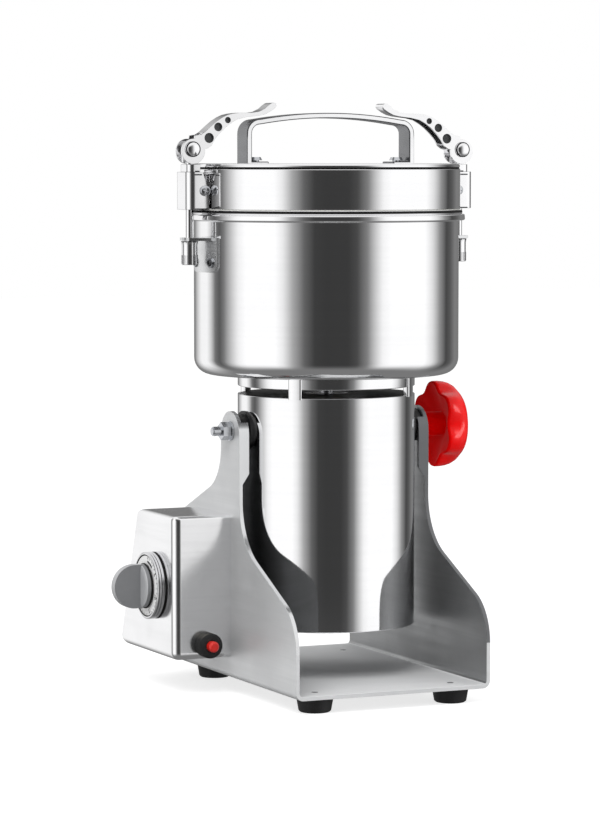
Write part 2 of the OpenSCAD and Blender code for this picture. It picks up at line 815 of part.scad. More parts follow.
module commutator() {
    color([0.72, 0.45, 0.2]) at_axis() translate([0, 0, comm_z]) linear_extrude(comm_h) difference() {
        circle(comm_r);
        circle(shaft_r);
        for (i = [0 : comm_bars - 1]) rotate(360 * i / comm_bars)
            translate([comm_r - cut, -comm_slot / 2]) square([2 * cut, comm_slot]);
    }
}
module cooling_fan() {
    color([0.12, 0.12, 0.12]) at_axis() translate([0, 0, fan_z]) difference() {
        union() {
            cylinder(r = fan_r, h = fan_t);
            cylinder(r = fan_hub_r, h = fan_h);
            for (i = [0 : fan_blades - 1]) rotate([0, 0, 360 * i / fan_blades])
                translate([fan_hub_r - cut, -fan_blade_t / 2, 0])
                    cube([fan_r - fan_hub_r - cut, fan_blade_t, fan_h]);
        }
        translate([0, 0, -cut]) cylinder(r = shaft_r, h = fan_h + 2 * cut);
    }
}

// Bowl
module bowl() {
    color([0.88, 0.88, 0.88]) at_axis() translate([0, 0, bowl_z]) rotate_extrude($fn = 96) difference() {
        union() {
            translate([0, bowl_corner]) square([bowl_r, rim_z - bowl_z - bowl_corner]);
            square([bowl_r - bowl_corner, bowl_corner]);
            translate([bowl_r - bowl_corner, bowl_corner]) circle(bowl_corner);
            translate([0, bowl_h]) square([bowl_r + band_over - band_h / 4, band_h]);
            translate([0, bowl_h + band_h / 4]) square([bowl_r + band_over, band_h / 2]);
            for (h = [band_h / 4, 3 * band_h / 4])
                translate([bowl_r + band_over - band_h / 4, bowl_h + h]) circle(band_h / 4);
            // Bead on the rim, upright below and rounded above
            translate([0, bowl_h + band_h]) square([bowl_r + bead_over, bead_h / 2]);
            translate([0, bowl_h + band_h]) square([bowl_r + bead_over - bead_h / 2, bead_h]);
            translate([bowl_r + bead_over - bead_h / 2, bowl_h + band_h + bead_h / 2]) circle(bead_h / 2);
        }
        // Inside
        difference() {
            union() {
                translate([0, bowl_corner]) square([bowl_r - bowl_wall, rim_z]);
                translate([0, bowl_floor]) square([bowl_r - bowl_corner, bowl_corner]);
                translate([bowl_r - bowl_corner, bowl_corner]) circle(bowl_corner - bowl_wall);
            }
            square([2 * bowl_r, bowl_floor]);
        }
        translate([-cut, -cut]) square([seal_r - seal_lip + cut, bowl_floor + 2 * cut]);
        // Nothing lies across the axis
        translate([-3 * bowl_r, -cut]) square([3 * bowl_r, 3 * bowl_h]);
    }
}
module shaft_seal() {
    color([0.75, 0.62, 0.3]) at_axis() translate([0, 0, bowl_z - seal_below]) rotate_extrude() polygon([
        [shaft_r + part_gap, 0], [seal_r - seal_lip, 0], [seal_r - seal_lip, seal_below + bowl_floor],
        [seal_r, seal_below + bowl_floor], [seal_r, seal_t + seal_below + bowl_floor - cut],
        [seal_r - cut, seal_t + seal_below + bowl_floor],
        [shaft_r + part_gap, seal_t + seal_below + bowl_floor]
    ]);
}
module blade_shape(r) {
    w = blade_w / 2;
    linear_extrude(blade_t) difference() {
        union() {
            circle(w);
            polygon([
                [r, -w * blade_tip_share], [r, w * blade_tip_share / 2], [r * blade_shoulder_share, w],
                [0, w],
                [-r * blade_shoulder_share, w * blade_shoulder_share], [-r, w * blade_tip_share],
                [-r, -w * blade_tip_share / 2], [-r * blade_shoulder_share, -w], [0, -w],
                [r * blade_shoulder_share, -w * blade_shoulder_share]
            ]);
        }
        circle(shaft_r);
    }
}
module lower_blade() { color([0.8, 0.8, 0.8]) at_axis() translate([0, 0, blade_z]) blade_shape(blade_r); }
module upper_blade() {
    color([0.8, 0.8, 0.8]) at_axis() translate([0, 0, upper_blade_z]) rotate([0, 0, 90])
        blade_shape(upper_blade_share * blade_r);
}
module blade_spacer() {
    color([0.75, 0.75, 0.75]) at_axis() translate([0, 0, blade_z + blade_t]) ring(hub_r, shaft_r, spacer_h);
}
module blade_nut() {
    color([0.8, 0.8, 0.8]) at_axis() translate([0, 0, upper_blade_z + blade_t]) difference() {
        union() {
            cylinder(r = nut_r, h = nut_h - nut_round_h, $fn = 6);
            translate([0, 0, nut_h - nut_round_h])
                cylinder(r1 = nut_r * cos(30), r2 = nut_r / 2, h = nut_round_h);
        }
        translate([0, 0, -cut]) cylinder(r = shaft_r, h = nut_h - nut_round_h + cut);
    }
}

// Side outline of a catch's plate, in Y and Z, rounded below
module catch_outline() {
    w = (bowl_r + catch_t) * sin(catch_half_angle);
    low = catch_top - catch_h;
    translate([-w, low + catch_corner]) square([2 * w, catch_h - catch_corner]);
    translate([-w + catch_corner, low]) square([2 * (w - catch_corner), catch_h]);
    for (s = [-1, 1]) translate([s * (w - catch_corner), low + catch_corner]) circle(catch_corner);
}
// Catches under the rim, with an open slot for each latch rod
module bowl_catches() {
    color([0.85, 0.85, 0.85]) at_axis() each_side() difference() {
        union() {
            intersection() {
                translate([0, 0, catch_top - catch_h]) cylinder(r = bowl_r + catch_t, h = catch_h, $fn = 360);
                slab_x(bowl_r / 2, 2 * bowl_r) catch_outline();
            }
            translate([0, 0, catch_top - catch_flange_t]) linear_extrude(catch_flange_t) difference() {
                polygon([
                    [0, -catch_root_w / 2], [bowl_r + catch_t, -catch_root_w / 2],
                    [bowl_r + catch_out, -catch_tip_w / 2], [bowl_r + catch_out, catch_tip_w / 2],
                    [bowl_r + catch_t, catch_root_w / 2], [0, catch_root_w / 2]
                ]);
                translate([rod_x - catch_slot_w / 2, -catch_slot_w / 2]) square([catch_out, catch_slot_w]);
            }
        }
        translate([0, 0, bowl_z]) cylinder(r = bowl_r, h = bowl_h, $fn = 360);
        for (s = [-1, 1]) rotate([0, 0, s * catch_hole_angle]) translate([0, 0, rivet_z]) along_x()
            cylinder(r = rivet_r, h = 2 * bowl_r);
    }
}
module catch_rivets() {
    color([0.75, 0.75, 0.75]) at_axis() each_side() for (s = [-1, 1]) rotate([0, 0, s * catch_hole_angle])
        translate([0, 0, rivet_z]) difference() {
            along_x() {
                cylinder(r = rivet_r, h = bowl_r + catch_t + rivet_head_t);
                translate([0, 0, bowl_r + catch_t]) cylinder(r = rivet_head_r, h = rivet_head_t);
            }
            translate([0, 0, -rivet_z]) cylinder(r = bowl_r, h = 2 * rivet_z, $fn = 96);
        }
}

// Lid
module lid_shell() {
    color([0.9, 0.9, 0.9]) at_axis() translate([0, 0, lid_z]) rotate_extrude($fn = 96) difference() {
        union() {
            square([lid_r, lid_h - lid_corner]);
            square([lid_r - lid_corner, lid_h]);
            translate([lid_r - lid_corner, lid_h - lid_corner]) circle(lid_corner);
        }
        translate([-cut, -cut]) square([lid_r - lid_wall + cut, lid_h - lid_corner + cut]);
        translate([-cut, -cut]) square([lid_r - lid_corner + cut, lid_h - lid_wall + cut]);
        translate([lid_r - lid_corner, lid_h - lid_corner]) circle(lid_corner - lid_wall);
        translate([-lid_r, -cut]) square([lid_r, 2 * lid_h]);
    }
}
module lid_gasket() {
    r = lid_r - lid_wall;
    color([0.85, 0.85, 0.82]) at_axis() translate([0, 0, rim_z]) rotate_extrude($fn = 96) polygon([
        [r - gasket_w, 0], [lid_r, 0], [lid_r, part_gap], [r, part_gap], [r, gasket_h],
        [r - gasket_w, gasket_h]
    ]);
}
// Middle line of the handle's strip, in X and Z, from the crown to the foot
module handle_outline(grow) {
    x = handle_x - grow;
    h = handle_h - grow;
    sag_r = (pow(handle_x - handle_corner, 2) + pow(handle_sag, 2)) / (2 * handle_sag);
    r = handle_corner - grow;
    z1 = h - handle_sag - r;
    a = asin((x - r) / (sag_r - r - grow));
    polygon(concat(
        [[-x, -cut]],
        arc([-x + r, z1], r, 180, 90 + a, 8),
        arc([0, h - sag_r + grow], sag_r - grow, 90 + a, 90 - a, 24),
        arc([x - r, z1], r, 90 - a, 0, 8),
        [[x, -cut]]
    ));
}
module lid_handle() {
    color([0.88, 0.88, 0.88]) at_axis() translate([0, 0, lid_top]) difference() {
        union() {
            slab_y(handle_w) difference() {
                intersection() {
                    handle_outline(0);
                    translate([-handle_x, 0]) square([2 * handle_x, 2 * handle_h]);
                }
                handle_outline(handle_t);
            }
            for (s = [-1, 1]) translate([s * (handle_x - handle_foot / 2), 0, handle_foot_t / 2])
                cube([handle_foot, handle_w, handle_foot_t], center = true);
        }
        for (s = [-1, 1]) translate([s * (handle_x - handle_screw_share * handle_foot), 0, -cut])
            cylinder(r = handle_screw_r, h = handle_foot_t + 2 * cut);
    }
}
module handle_screws() {
    color([0.8, 0.8, 0.8]) at_axis() for (s = [-1, 1])
        translate([s * (handle_x - handle_screw_share * handle_foot), 0, lid_top]) rotate_extrude() polygon([
            [0, 0], [handle_screw_r, 0], [handle_screw_r, handle_foot_t], [handle_head_r, handle_foot_t],
            [handle_head_r - handle_head_t / 2, handle_foot_t + handle_head_t],
            [0, handle_foot_t + handle_head_t]
        ]);
}
// Fork ears on the lid's wall that carry the swinging straps
module lid_ears() {
    color([0.85, 0.85, 0.85]) at_axis() each_side() difference() {
        translate([0, 0, swing_z]) for (s = [-1, 1]) translate([0, s * (ear_w - ear_t) / 2, 0])
            slab_y(ear_t) {
            translate([swing_x - swing_r, 0]) circle(ear_r);
            translate([swing_x - 4 * ear_r, -ear_h / 2]) square([4 * ear_r - swing_r, ear_h]);
        }
        translate([0, 0, lid_z - cut]) cylinder(r = lid_r, h = lid_h + cut, $fn = 360);
        translate([swing_x, 0, swing_z]) along_y() translate([0, 0, -strap_w])
            cylinder(r = swing_r + run_fit, h = 2 * strap_w);
    }
}

// Latch pieces for the right side; the left side is their mirror
module strap_plan(grow) {
    x = strap_x - grow;
    w = strap_w / 2 - grow;
    r = strap_corner - grow;
    translate([0, -w + r]) square([x, 2 * (w - r)]);
    translate([0, -w]) square([x - r, 2 * w]);
    for (s = [-1, 1]) translate([x - r, s * (w - r)]) circle(r);
}
module strap() {
    drop = strap_h / 2;
    intersection() {
        difference() {
            translate([0, 0, lid_z]) linear_extrude(strap_h) strap_plan(0);
            translate([0, 0, lid_z + strap_t]) linear_extrude(strap_h - 2 * strap_t) strap_plan(strap_t);
            translate([rod_x, 0, lid_z - cut]) cylinder(r = rod_r + run_fit, h = strap_h + 2 * cut);
            translate([swing_x, 0, swing_z]) along_y() translate([0, 0, -strap_w])
                cylinder(r = swing_r, h = 2 * strap_w);
        }
        // The inner edge leans out towards the top, which gives room to swing
        slab_y(2 * strap_w) polygon([
            [strap_in, lid_z - cut], [strap_x + cut, lid_z - cut], [strap_x + cut, strap_top + cut],
            [strap_top_in, strap_top + cut], [strap_top_in, strap_top], [strap_in, swing_z],
            [strap_in, lid_z - cut]
        ]);
    }
}
module swing_screw() {
    translate([swing_x, 0, swing_z]) along_y() {
        translate([0, 0, -strap_w / 2]) cylinder(r = swing_r, h = strap_w);
        for (m = [0, 1]) mirror([0, 0, m]) translate([0, 0, strap_w / 2])
            cylinder(r1 = swing_head_r, r2 = swing_head_r - swing_head_t / 2, h = swing_head_t);
    }
}
module saddle() {
    translate([0, 0, strap_top]) linear_extrude(saddle_h) difference() {
        union() {
            translate([saddle_in, -saddle_w / 2]) square([saddle_out - saddle_in - saddle_round, saddle_w]);
            translate([saddle_in, -saddle_w / 2 + saddle_round])
                square([saddle_out - saddle_in, saddle_w - 2 * saddle_round]);
            for (s = [-1, 1]) translate([saddle_out - saddle_round, s * (saddle_w / 2 - saddle_round)])
                circle(saddle_round);
        }
        translate([rod_x, 0]) circle(rod_r + run_fit);
    }
}
module rod() {
    difference() {
        union() {
            translate([rod_x, 0, rod_nut_low]) cylinder(r = rod_r, h = pin_z - rod_nut_low);
            translate([rod_x, -eye_w / 2, pin_z]) along_y() cylinder(r = eye_r, h = eye_w);
        }
        translate([rod_x, -lever_w, pin_z]) along_y() cylinder(r = pin_r, h = 2 * lever_w);
    }
}
module rod_nut() {
    translate([rod_x, 0, rod_nut_low]) difference() {
        union() {
            cylinder(r = rod_nut_r, h = rod_nut_h);
            translate([0, 0, rod_nut_h]) cylinder(r1 = rod_nut_r, r2 = rod_nut_flare_r, h = rod_nut_flare_h);
        }
        translate([0, 0, -cut]) cylinder(r = rod_r, h = rod_nut_h + rod_nut_flare_h + 2 * cut);
    }
}
module lever_pin() {
    l = lever_w + 2 * face_gap;
    translate([rod_x, 0, pin_z]) along_y() {
        translate([0, 0, -l / 2]) cylinder(r = pin_r, h = l);
        for (m = [0, 1]) mirror([0, 0, m]) translate([0, 0, l / 2])
            cylinder(r1 = pin_head_r, r2 = pin_head_r - pin_head_t / 2, h = pin_head_t);
    }
}
// A place on the lever, from shares of its reach and rise
function lever_at(s) = [rod_x - s[0] * lever_reach, pin_z + s[1] * lever_rise];
module lever_outline() {
    translate([rod_x, pin_z]) rotate(-90 - cam_angle) translate([cam_off, 0]) circle(cam_r);
    polygon(concat(
        [[rod_x, pin_z]], [for (s = lever_top_shares) lever_at(s)], [for (s = lever_tip_shares) lever_at(s)],
        [for (s = lever_low_shares) lever_at(s)]
    ));
}
module lever() {
    difference() {
        slab_y(lever_w) lever_outline();
        // Between the cheeks the sheet is left only as a web along the top
        slab_y(lever_w - 2 * lever_t) polygon(concat(
            [[rod_x + 2 * cam_r, pin_z - 2 * cam_r], [rod_x + 2 * cam_r, pin_z + lever_rise],
             [rod_x - eye_clear, pin_z + lever_rise]],
            [lever_at(lever_web_start_shares) - [0, lever_t]],
            [for (s = lever_top_shares) if (s[0] > lever_web_start_shares[0] && s[0] < lever_web_end_share)
                lever_at(s) - [0, lever_t]],
            [[rod_x - lever_web_end_share * lever_reach, pin_z],
             [rod_x - lever_web_end_share * lever_reach, pin_z - 2 * cam_r]]
        ));
        translate([rod_x, -lever_w, pin_z]) along_y() cylinder(r = pin_r + run_fit, h = 2 * lever_w);
        for (s = lever_hole_shares) let (p = lever_at(s))
            translate([p[0], -lever_w, p[1]]) along_y() cylinder(r = s[2] * eye_r, h = 2 * lever_w);
    }
}
module left_strap() { color([0.86, 0.86, 0.86]) at_axis() left_side() strap(); }
module left_swing_screw() { color([0.8, 0.8, 0.8]) at_axis() left_side() swing_screw(); }
module left_saddle() { color([0.8, 0.8, 0.8]) at_axis() left_side() saddle(); }
module left_rod() { color([0.85, 0.85, 0.85]) at_axis() left_side() rod(); }
module left_rod_nut() { color([0.8, 0.8, 0.8]) at_axis() left_side() rod_nut(); }
module left_lever_pin() { color([0.85, 0.85, 0.85]) at_axis() left_side() lever_pin(); }
module left_lever() { color([0.88, 0.88, 0.88]) at_axis() left_side() lever(); }
module right_strap() { color([0.86, 0.86, 0.86]) at_axis() strap(); }
module right_swing_screw() { color([0.8, 0.8, 0.8]) at_axis() swing_screw(); }
module right_saddle() { color([0.8, 0.8, 0.8]) at_axis() saddle(); }
module right_rod() { color([0.85, 0.85, 0.85]) at_axis() rod(); }
module right_rod_nut() { color([0.8, 0.8, 0.8]) at_axis() rod_nut(); }
module right_lever_pin() { color([0.85, 0.85, 0.85]) at_axis() lever_pin(); }
module right_lever() { color([0.88, 0.88, 0.88]) at_axis() lever(); }

// Pivot on the left, lock knob on the right
module pivot_bolt() {
    color([0.7, 0.7, 0.7]) at_axis() translate([-frame_out - bolt_out, 0, pivot_h]) along_x() difference() {
        cylinder(r = bolt_r, h = bolt_out + frame_out - motor_r + motor_wall - cut);
        translate([0, 0, -cut]) ring(2 * bolt_r, bolt_r - groove_t, cut + groove_t);
    }
}
module pivot_nut() {
    x0 = -frame_out - face_gap - washer_t - pivot_nut_t;
    color([0.75, 0.75, 0.75]) at_axis() translate([x0, 0, pivot_h]) along_x() difference() {
        cylinder(r = nut_af / (2 * cos(30)), h = pivot_nut_t, $fn = 6);
        translate([0, 0, -cut]) cylinder(r = bolt_r, h = pivot_nut_t + 2 * cut);
    }
}
module pivot_washer() {
    color([0.8, 0.8, 0.8]) at_axis() translate([-frame_out - face_gap - washer_t, 0, pivot_h]) along_x()
        ring(washer_r, bolt_r, washer_t);
}
module lock_stud() {
    color([0.7, 0.7, 0.7]) at_axis() translate([motor_r - motor_wall + cut, 0, pivot_h]) along_x()
        cylinder(r = stud_r, h = stud_end - motor_r + motor_wall - cut);
}
// Valleys between the lock knob's lobes, deeper behind than in front
module star_valleys() {
    r = star_d / 2;
    for (i = [0 : star_lobes - 1]) rotate([0, 0, 360 * (i + 1 / 2) / star_lobes])
        translate([star_valley_place_share * r, 0, -cut])
            cylinder(r1 = star_valley_back_share * r, r2 = star_valley_front_share * r, h = star_t + 2 * cut);
}
module lock_knob() {
    r = star_d / 2;
    color([0.86, 0.03, 0.03]) at_axis() translate([frame_out + star_gap, 0, pivot_h]) along_x() difference() {
        union() {
            translate([0, 0, star_hub_l]) difference() {
                rotate_extrude() difference() {
                    union() {
                        square([r - star_round, star_t]);
                        square([r, star_t - star_round]);
                        translate([r - star_round, star_t - star_round]) circle(star_round);
                    }
                    translate([-2 * r, -cut]) square([2 * r, 2 * star_t]);
                }
                star_valleys();
                // The back is dished round the hub
                translate([0, 0, -cut]) cylinder(
                    r1 = star_dish_share * r, r2 = star_hub_r + groove_w, h = star_t - star_wall + cut
                );
            }
            cylinder(r = star_hub_r, h = star_hub_l + star_t - star_wall + cut);
        }
        translate([0, 0, -cut])
            cylinder(r = stud_r + run_fit, h = stud_end - frame_out - star_gap + part_gap + cut);
    }
}

base_frame();
rubber_feet();
foot_screws();
control_box();
box_screws();
lead_grommet();
mains_bush();
timer_dial();
timer_body();
timer_knob();
breaker_body();
breaker_boot();
reset_button();
motor_housing();
motor_bottom_cover();
motor_top_plate();
neck_ring();
trunnion_bosses();
stator_core();
stator_windings();
brush_holders();
carbon_brushes();
upper_bearing();
lower_bearing();
bowl();
shaft_seal();
bowl_catches();
catch_rivets();
lid_shell();
lid_gasket();
lid_handle();
handle_screws();
lid_ears();
pivot_bolt();
pivot_nut();
pivot_washer();
lock_stud();
lock_knob();
motor_shaft();
rotor_core();
commutator();
cooling_fan();
lower_blade();
blade_spacer();
upper_blade();
blade_nut();
left_strap();
left_swing_screw();
left_saddle();
left_rod();
left_rod_nut();
left_lever_pin();
left_lever();
right_strap();
right_swing_screw();
right_saddle();
right_rod();
right_rod_nut();
right_lever_pin();
right_lever();
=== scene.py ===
# Electric grain mill: a polished steel bowl on a motor that tips between two uprights.
# Places are millimetres from the bowl's axis, X to the lock knob, Y to the back, Z up.
import json
import math

import bmesh
import bpy
from mathutils import Matrix, Vector

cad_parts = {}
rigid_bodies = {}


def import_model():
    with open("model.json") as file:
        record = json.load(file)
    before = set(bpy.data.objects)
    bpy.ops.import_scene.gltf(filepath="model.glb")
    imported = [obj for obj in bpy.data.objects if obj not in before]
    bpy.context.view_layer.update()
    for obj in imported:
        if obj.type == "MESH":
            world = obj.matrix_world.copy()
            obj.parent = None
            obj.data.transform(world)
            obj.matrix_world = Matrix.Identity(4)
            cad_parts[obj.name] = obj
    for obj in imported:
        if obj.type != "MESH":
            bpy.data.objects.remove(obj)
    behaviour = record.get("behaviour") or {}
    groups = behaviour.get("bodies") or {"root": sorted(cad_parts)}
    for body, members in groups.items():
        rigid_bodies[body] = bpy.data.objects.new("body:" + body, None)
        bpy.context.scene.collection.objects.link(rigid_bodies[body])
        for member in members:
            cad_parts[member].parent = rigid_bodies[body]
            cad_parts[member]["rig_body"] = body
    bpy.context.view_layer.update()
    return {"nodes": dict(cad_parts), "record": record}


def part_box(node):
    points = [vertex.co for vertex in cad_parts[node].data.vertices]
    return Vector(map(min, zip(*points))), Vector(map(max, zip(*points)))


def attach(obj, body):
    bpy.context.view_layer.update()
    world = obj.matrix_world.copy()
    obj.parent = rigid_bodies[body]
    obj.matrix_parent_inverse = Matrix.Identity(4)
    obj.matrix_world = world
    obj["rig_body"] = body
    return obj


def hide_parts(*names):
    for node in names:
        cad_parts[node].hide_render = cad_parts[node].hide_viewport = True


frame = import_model()

MM = 0.001
tube_low_corner, tube_high_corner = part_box("motor_housing")
AXIS_X = (tube_low_corner.x + tube_high_corner.x) / 2


def span(node, axis):
    """Lowest and highest reach of a solid along an axis, in millimetres from the bowl's axis."""
    low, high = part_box(node)
    shift = AXIS_X if axis == 0 else 0.0
    return (low[axis] - shift) / MM, (high[axis] - shift) / MM


def middle_of(node, axis):
    return sum(span(node, axis)) / 2


def place(x, y, z):
    return Vector((x * MM + AXIS_X, y * MM, z * MM))


def reach(point):
    """Distance of a point from the bowl's axis, in millimetres."""
    return math.hypot(point.x - AXIS_X, point.y) / MM


def new_object(name, data):
    """A new object in the scene."""
    thing = bpy.data.objects.new(name, data)
    bpy.context.scene.collection.objects.link(thing)
    return thing


def mesh_of(name, bm):
    mesh = bpy.data.meshes.new(name)
    bm.to_mesh(mesh)
    bm.free()
    return mesh


def rectangle(low_u, high_u, low_v, high_v):
    return [(low_u, low_v), (high_u, low_v), (high_u, high_v), (low_u, high_v)]


# Nodes
def new_group(family, name, inputs, outputs):
    """A group's tree, its inputs' outlets and its outputs' inlets. A socket is (label, kind) or
    (label, kind, value)."""
    tree = bpy.data.node_groups.new(name, family + "NodeTree")
    for way, sockets in (("INPUT", inputs), ("OUTPUT", outputs)):
        for label, kind, *value in sockets:
            socket = tree.interface.new_socket(name=label, in_out=way, socket_type="NodeSocket" + kind)
            if value:
                socket.default_value = value[0]
    return tree, tree.nodes.new("NodeGroupInput").outputs, tree.nodes.new("NodeGroupOutput").inputs


def feed(tree, socket, value):
    """Links an output to a socket, or gives the socket a value of its own."""
    if hasattr(value, "is_output"):
        tree.links.new(value, socket)
    else:
        socket.default_value = value


def add_node(tree, kind, sockets=None, **settings):
    """A new node's outlets, its settings made and its sockets fed. Without a family it is a shader's."""
    node = tree.nodes.new(kind if "Node" in kind else "ShaderNode" + kind)
    for label, value in settings.items():
        setattr(node, label, value)
    for key, value in (sockets or {}).items():
        feed(tree, node.inputs[key], value)
    return node.outputs


def worked_out(tree, operation, *values):
    """The outcome of a sum on values and outputs."""
    return add_node(tree, "Math", dict(enumerate(values)), operation=operation)[0]


def spread(tree, value, low, high):
    """0 below low, 1 past high and a soft rise between them."""
    sockets = {"Value": value, "From Min": low, "From Max": high}
    return add_node(tree, "MapRange", sockets, interpolation_type="SMOOTHSTEP")["Result"]


def mixed(tree, factor, first, second):
    """Colour first turned towards second by a factor."""
    sockets = {"Factor": factor, 6: first, 7: second}
    return add_node(tree, "Mix", sockets, data_type="RGBA")[2]


# Camera and light
CAMERA_AZIMUTH = math.radians(24.85)
CAMERA_REACH = 2191.0
CAMERA_HEIGHT = 340.0
LENS = 150.0
AIM = (-15.3, 7.1, 180.9)
TO_CAMERA = Vector((-math.sin(CAMERA_AZIMUTH), -math.cos(CAMERA_AZIMUTH), 0.0))
TO_SCREEN_RIGHT = Vector((math.cos(CAMERA_AZIMUTH), -math.sin(CAMERA_AZIMUTH), 0.0))

bpy.context.scene.view_settings.view_transform = "Standard"


def look(thing, spot, aim):
    """Puts a camera or a lamp at a spot and points it at another."""
    thing.location = place(*spot)
    thing.rotation_euler = (place(*aim) - thing.location).to_track_quat("-Z", "Y").to_euler()


def set_camera():
    data = bpy.data.cameras.new("camera")
    data.lens = LENS
    data.sensor_width = 36.0
    data.clip_end = 50.0
    camera = new_object("camera", data)
    way = TO_CAMERA * CAMERA_REACH
    look(camera, (way.x, way.y, CAMERA_HEIGHT), AIM)
    bpy.context.scene.camera = camera


def grey(level):
    """Linear value of a grey given as 0 to 255 on a screen."""
    c = level / 255.0
    return c / 12.92 if c <= 0.04045 else ((c + 0.055) / 1.055) ** 2.4


def screen(red, green, blue):
    return (grey(red), grey(green), grey(blue), 1.0)


# The studio that polished metal mirrors, by angle from the camera's side towards the right,
# as screen greys: a dark flag behind the camera, white walls beside it, dark flags at the sides
STUDIO_BANDS = [
    (-180, 112), (-162, 128), (-150, 200), (-140, 242), (-127, 244), (-120, 205), (-113, 112),
    (-106, 84), (-100, 118), (-91, 190), (-82, 240), (-74, 255), (-45, 255), (-38, 235), (-29, 165),
    (-19, 97), (-10, 60), (0, 56), (19, 57), (27, 72), (36, 126), (44, 205), (50, 244), (58, 255),
    (95, 255), (105, 222), (116, 142), (128, 68), (137, 85), (150, 122), (180, 112),
]
# Above and below the bands: the heights between which they fade, and the grey beyond
STUDIO_ENDS = [(0.22, 0.62, 238), (-0.2, -0.75, 118)]
MIRRORED_LIGHT, SOFT_LIGHT = 1.1, 0.62
WHITE = (1.0, 1.0, 1.0, 1.0)


def set_world():
    world = bpy.data.worlds.new("studio")
    bpy.context.scene.world = world
    world.use_nodes = True
    tree = world.node_tree
    tree.nodes.clear()

    def sky(colour, strength):
        return add_node(tree, "Background", {"Color": colour, "Strength": strength})[0]

    def either(factor, first, second):
        return add_node(tree, "MixShader", {0: factor, 1: first, 2: second})[0]

    way = add_node(tree, "TexCoord")["Generated"]
    right, front, up = (
        add_node(tree, "VectorMath", {0: way, 1: axis}, operation="DOT_PRODUCT")["Value"]
        for axis in (TO_SCREEN_RIGHT, TO_CAMERA, Vector((0, 0, 1)))
    )
    turn = worked_out(tree, "ARCTAN2", right, front)
    share = add_node(tree, "MapRange", {"Value": turn, "From Min": -math.pi, "From Max": math.pi})
    bands = tree.nodes.new("ShaderNodeValToRGB")
    feed(tree, bands.inputs["Fac"], share["Result"])
    stops = bands.color_ramp.elements
    while len(stops) > 1:
        stops.remove(stops[-1])
    for i, (angle, level) in enumerate(STUDIO_BANDS):
        at = (angle + 180) / 360
        stop = stops.new(at) if i else stops[0]
        stop.position = at
        stop.color = screen(level, level, level)
    tone = bands.outputs["Color"]
    for low, high, level in STUDIO_ENDS:
        tone = mixed(tree, spread(tree, up, low, high), tone, screen(level, level, level))
    ray = add_node(tree, "LightPath")
    lit = either(ray["Is Glossy Ray"], sky(WHITE, SOFT_LIGHT), sky(tone, MIRRORED_LIGHT))
    seen = either(ray["Is Camera Ray"], lit, sky(WHITE, 1.0))
    add_node(tree, "OutputWorld", {"Surface": seen})


def add_lamp(name, spot, aim, size, power, gloss_only=False):
    data = bpy.data.lights.new(name, "AREA")
    data.shape = "RECTANGLE"
    data.size, data.size_y = size
    data.energy = power
    lamp = new_object(name, data)
    look(lamp, spot, aim)
    lamp.visible_glossy = gloss_only
    lamp.visible_diffuse = not gloss_only
    lamp.visible_camera = False
    return lamp


FLOOR_HALF, FLOOR_TONE, FLOOR_GLOW = 6.0, (0.5, 0.5, 0.5, 1), 0.72


def set_floor():
    """A pale floor that the camera sees as white, with the shadow on it."""
    bm = bmesh.new()
    corners = rectangle(-FLOOR_HALF, FLOOR_HALF, -FLOOR_HALF, FLOOR_HALF)
    bm.faces.new([bm.verts.new((x, y, 0.0)) for x, y in corners])
    floor = new_object("floor", mesh_of("floor", bm))
    material = bpy.data.materials.new("pale floor")
    material.use_nodes = True
    tree = material.node_tree
    tree.nodes.clear()
    seen = add_node(tree, "LightPath")["Is Camera Ray"]
    strength = worked_out(tree, "MULTIPLY", seen, FLOOR_GLOW)
    glow = add_node(tree, "Emission", {"Strength": strength})
    diffuse = add_node(tree, "BsdfDiffuse", {"Color": FLOOR_TONE})
    both = add_node(tree, "AddShader", {0: diffuse[0], 1: glow[0]})
    add_node(tree, "OutputMaterial", {"Surface": both[0]})
    floor.data.materials.append(material)
    floor.visible_glossy = False


set_camera()
set_world()
add_lamp("key", (-900, -900, 1500), (0, 0, 150), (1.2, 1.2), 26)
add_lamp("fill", (1200, -900, 900), (0, 0, 150), (1.2, 1.2), 8)
knob_strip = add_lamp("strip", (944, -1292, 700), (0, 0, 400), (0.45, 1.3), 13, gloss_only=True)
set_floor()


# Effects shared by the finishes
def noise(tree, vector, detail, rough=0.5, scale=1.0):
    sockets = {"Vector": vector, "Scale": scale, "Detail": detail, "Roughness": rough}
    return add_node(tree, "TexNoise", sockets)["Fac"]


def vector_sum(tree, operation, sockets):
    return add_node(tree, "VectorMath", sockets, operation=operation)[0]


def stretched(tree, vector, stretch):
    return vector_sum(tree, "MULTIPLY", {0: vector, 1: stretch})


def scaled(tree, vector, factor):
    return vector_sum(tree, "SCALE", {0: vector, "Scale": factor})


def make_grain():
    """Lines left by brushing or polishing, long across the sheet and fine the other way."""
    tree, given, result = new_group(
        "Shader", "sheet grain", [("Place", "Vector"), ("Lines per metre", "Vector", (60, 60, 2500))],
        [("Lines", "Float"), ("Streaks", "Float")],
    )
    where, lines = given["Place"], given["Lines per metre"]
    feed(tree, result["Lines"], noise(tree, stretched(tree, where, lines), 3.0, 0.6))
    wide = noise(tree, stretched(tree, where, scaled(tree, lines, 0.12)), 2.0)
    feed(tree, result["Streaks"], spread(tree, wide, 0.35, 0.7))
    return tree


def make_handling():
    """Soft blotches from hands and wiping, and small specks."""
    tree, given, result = new_group(
        "Shader", "handling marks", [("Place", "Vector"), ("Blotches per metre", "Vector", (28, 28, 28))],
        [("Blotches", "Float"), ("Specks", "Float")],
    )
    where, blotches = given["Place"], given["Blotches per metre"]
    soft = noise(tree, stretched(tree, where, blotches), 4.0, 0.55)
    feed(tree, result["Blotches"], spread(tree, soft, 0.38, 0.68))
    speck = noise(tree, stretched(tree, where, scaled(tree, blotches, 34.0)), 1.0, 0.4)
    feed(tree, result["Specks"], spread(tree, speck, 0.68, 0.78))
    return tree


